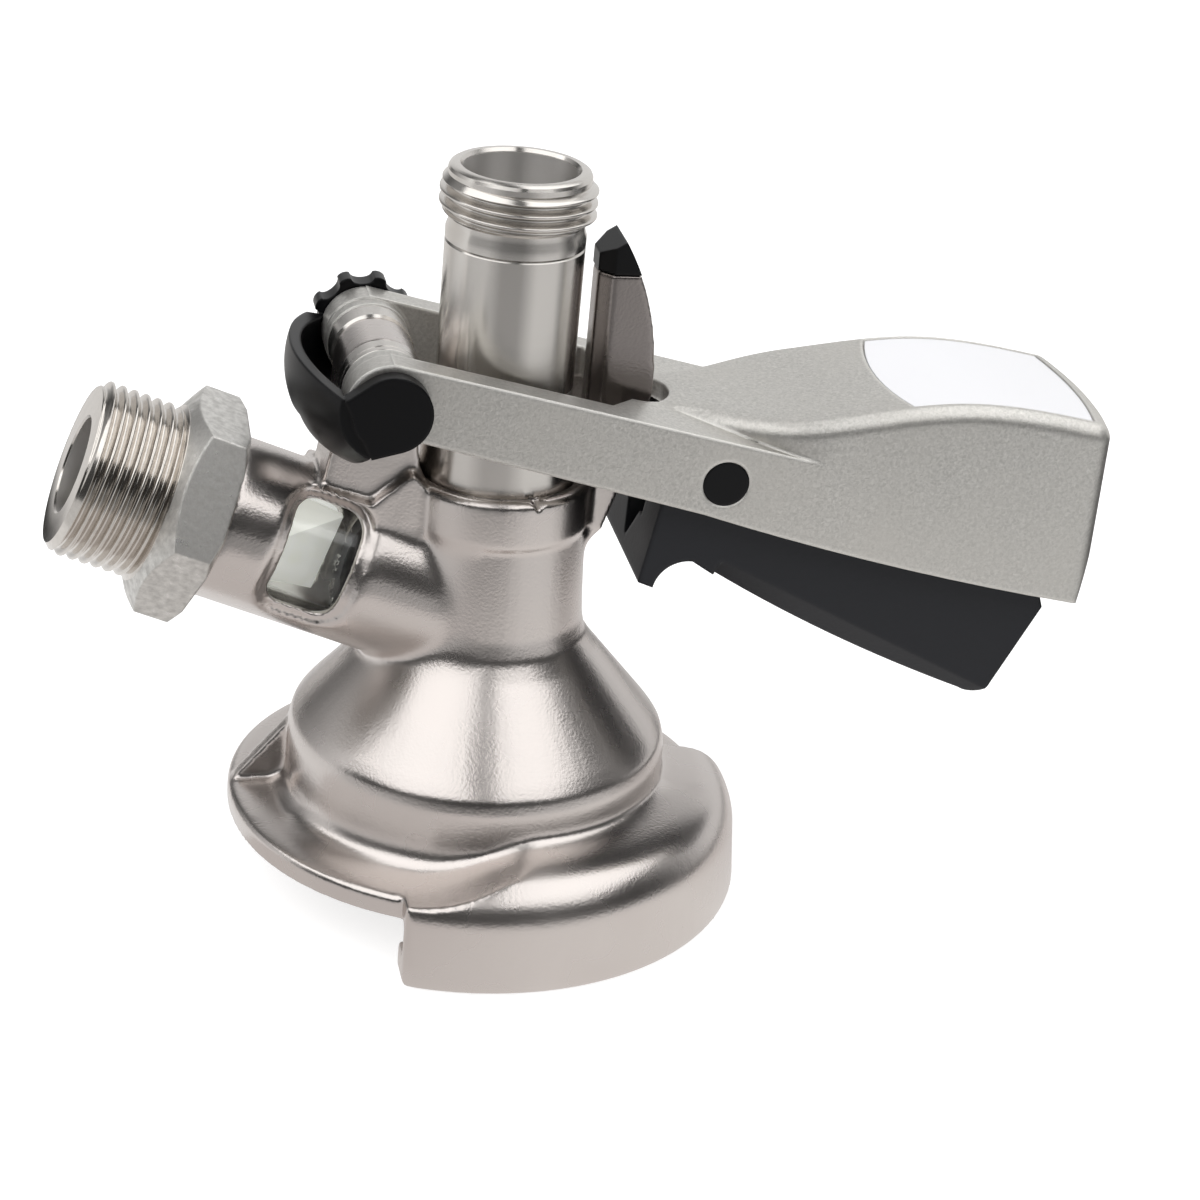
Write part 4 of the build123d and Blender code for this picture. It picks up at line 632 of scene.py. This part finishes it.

# Lever. One aluminium sand casting, a fork on the hinge pin with a hollow handle, blasted all over. It is
# silver grey with a worm-like fine grain, and its edges carry a painted highlight. The real grain is about
# 0.3 mm and is drawn at 0.5 mm, 1 / 2000 m.
cast_lever, tree = finish_named("blasted_aluminium")
where = add(tree, "ShaderNodeTexCoord")
edge = add(tree, "ShaderNodeBevel", {"Radius": 0.0009}, samples=6)
grit = add(tree, "ShaderNodeTexNoise", {"Scale": 2000.0, "Detail": 2.0, "Distortion": 0.8},
           {"Vector": where.outputs["Object"]})
patch = add(tree, "ShaderNodeTexNoise", {"Scale": 60.0, "Detail": 2.0}, {"Vector": where.outputs["Object"]})
skin = add(tree, "ShaderNodeBump", {"Strength": 0.75, "Distance": 0.00006},
           {"Height": grit.outputs["Fac"], "Normal": edge.outputs[0]})
shade = add(tree, "ShaderNodeValToRGB", links={0: grit.outputs["Fac"]},
            stops=((0.3, "b0afab"), (0.7, "dddbd7")))
cast = add(tree, "ShaderNodeMix", {7: tone("d0cdc7")}, {0: patch.outputs["Fac"], 6: shade.outputs["Color"]},
           data_type="RGBA")

# Where the bevelled normal leaves the face's own, the edge is lightened: a painted highlight along every
# edge.
shape = add(tree, "ShaderNodeNewGeometry")
bend = add(tree, "ShaderNodeVectorMath", links={0: edge.outputs[0], 1: shape.outputs["Normal"]},
           operation="DOT_PRODUCT")
edge_highlight = add(tree, "ShaderNodeMapRange", {"From Min": 0.99, "From Max": 0.93, "To Max": 0.8},
           {"Value": bend.outputs["Value"]})
edge_highlighted_colour = add(tree, "ShaderNodeMix", {7: tone("f3f1ec")}, {0: edge_highlight.outputs[0], 6: cast.outputs[2]},
             data_type="RGBA")
metal = add(tree, "ShaderNodeBsdfPrincipled", {"Metallic": 0.82, "Roughness": 0.4},
            {"Base Color": edge_highlighted_colour.outputs[2], "Normal": skin.outputs[0]})
add(tree, "ShaderNodeOutputMaterial", links={"Surface": metal.outputs[0]})
fit(merged_copy("lever", "lever_casting"), "lever", cast_lever)

# Label plate. A white enamelled plate, left blank and glued into the handle's recess. The enamel is glossy
# and flows a little, in waves of about 8 mm.
label_white, tree = finish_named("white_enamel_plate")
where = add(tree, "ShaderNodeTexCoord")
edge = add(tree, "ShaderNodeBevel", {"Radius": 0.0003}, samples=4)
flow = add(tree, "ShaderNodeTexNoise", {"Scale": 120.0}, {"Vector": where.outputs["Object"]})
skin = add(tree, "ShaderNodeBump", {"Strength": 0.05, "Distance": 0.0001},
           {"Height": flow.outputs["Fac"], "Normal": edge.outputs[0]})
plate = add(tree, "ShaderNodeBsdfPrincipled", {"Base Color": tone("f2f2f5"), "Roughness": 0.25},
            {"Normal": skin.outputs[0]})
add(tree, "ShaderNodeOutputMaterial", links={"Surface": plate.outputs[0]})
fit(merged_copy("label_plate", "label"), "label_plate", label_white)

# Black plastic pieces. Moulded acetal, smooth and a little glossy: the hinge clip that snaps over the pin,
# with its star grip, the finger's tip and the two pin plugs. Its faint grain is drawn at 0.6 mm.
black_plastic, tree = finish_named("black_acetal")
where = add(tree, "ShaderNodeTexCoord")
edge = add(tree, "ShaderNodeBevel", {"Radius": 0.0006}, samples=6)
grain = add(tree, "ShaderNodeTexNoise", {"Scale": 1800.0}, {"Vector": where.outputs["Object"]})
skin = add(tree, "ShaderNodeBump", {"Strength": 0.15, "Distance": 0.00003},
           {"Height": grain.outputs["Fac"], "Normal": edge.outputs[0]})
acetal = add(tree, "ShaderNodeBsdfPrincipled", {"Base Color": tone("0c0c0e"), "Roughness": 0.33,
                                                "Specular IOR Level": 0.2}, {"Normal": skin.outputs[0]})
add(tree, "ShaderNodeOutputMaterial", links={"Surface": acetal.outputs[0]})

# The star grip's lobes are drawn in towards its hub, which gives the smaller star of the photograph.
STAR_HUB_R, STAR_DEPTH, STAR_SHRINK = 0.0052, 0.0036, 0.5
clip = merged_copy("hinge_clip", "hinge_clip_black")
star_face = max(vertex.co.y for vertex in clip.data.vertices)
for vertex in clip.data.vertices:
    away = Vector((vertex.co.x - HINGE_X, vertex.co.z - HINGE_Z))
    if vertex.co.y > star_face - STAR_DEPTH and away.length > STAR_HUB_R:
        away *= (STAR_HUB_R + STAR_SHRINK * (away.length - STAR_HUB_R)) / away.length
        vertex.co.x, vertex.co.z = away.x + HINGE_X, away.y + HINGE_Z
fit(clip, "hinge_clip", black_plastic)
for node in ("finger_cap", "trigger_pin_caps"):
    fit(merged_copy(node, node + "_black"), node, black_plastic)

# Trigger. Moulded in glass-filled polyamide, on a pin between the handle's walls. It is anthracite and
# dull with a spark-eroded grain, really about 0.2 mm and drawn at 0.8 mm, 1 / 1300 m.
grey_plastic, tree = finish_named("anthracite_polyamide")
where = add(tree, "ShaderNodeTexCoord")
edge = add(tree, "ShaderNodeBevel", {"Radius": 0.0010}, samples=6)
grain = add(tree, "ShaderNodeTexNoise", {"Scale": 1300.0}, {"Vector": where.outputs["Object"]})
skin = add(tree, "ShaderNodeBump", {"Strength": 0.5, "Distance": 0.00005},
           {"Height": grain.outputs["Fac"], "Normal": edge.outputs[0]})
nylon = add(tree, "ShaderNodeBsdfPrincipled", {"Base Color": tone("292a2e"), "Roughness": 0.45,
                                               "Specular IOR Level": 0.25}, {"Normal": skin.outputs[0]})
add(tree, "ShaderNodeOutputMaterial", links={"Surface": nylon.outputs[0]})
fit(merged_copy("trigger", "trigger_grip"), "trigger", grey_plastic)

# Ball and its stop. Natural acetal, white and dull, with soft clouds of 2.5 mm. The ball lies loose on its
# seat in the probe, and the spider above it keeps it there.
white_plastic, tree = finish_named("white_acetal")
where = add(tree, "ShaderNodeTexCoord")
cloud = add(tree, "ShaderNodeTexNoise", {"Scale": 400.0}, {"Vector": where.outputs["Object"]})
shade = add(tree, "ShaderNodeMix", {6: tone("e2e2dd"), 7: tone("efefea")}, {0: cloud.outputs["Fac"]},
            data_type="RGBA")
acetal = add(tree, "ShaderNodeBsdfPrincipled", {"Roughness": 0.4}, {"Base Color": shade.outputs[2]})
add(tree, "ShaderNodeOutputMaterial", links={"Surface": acetal.outputs[0]})
for node in ("ball_stop", "check_ball"):
    fit(merged_copy(node, node + "_white"), node, white_plastic)

# Spring and pawl. A torsion spring of drawn wire round the trigger's pin, bright with dull patches of
# 1 mm, and a blanked steel hook set in the trigger.
spring_steel, tree = finish_named("spring_wire")
where = add(tree, "ShaderNodeTexCoord")
drawn = add(tree, "ShaderNodeTexNoise", {"Scale": 900.0}, {"Vector": where.outputs["Object"]})
sheen = add(tree, "ShaderNodeMapRange", {"To Min": 0.18, "To Max": 0.34}, {"Value": drawn.outputs["Fac"]})
wire = add(tree, "ShaderNodeBsdfPrincipled", {"Base Color": tone("b9b6b0"), "Metallic": 1.0},
           {"Roughness": sheen.outputs[0]})
add(tree, "ShaderNodeOutputMaterial", links={"Surface": wire.outputs[0]})
fit(merged_copy("trigger_spring", "trigger_spring_wire"), "trigger_spring", spring_steel)
fit(merged_copy("latch_pawl", "latch_pawl_steel"), "latch_pawl", turned_stainless)
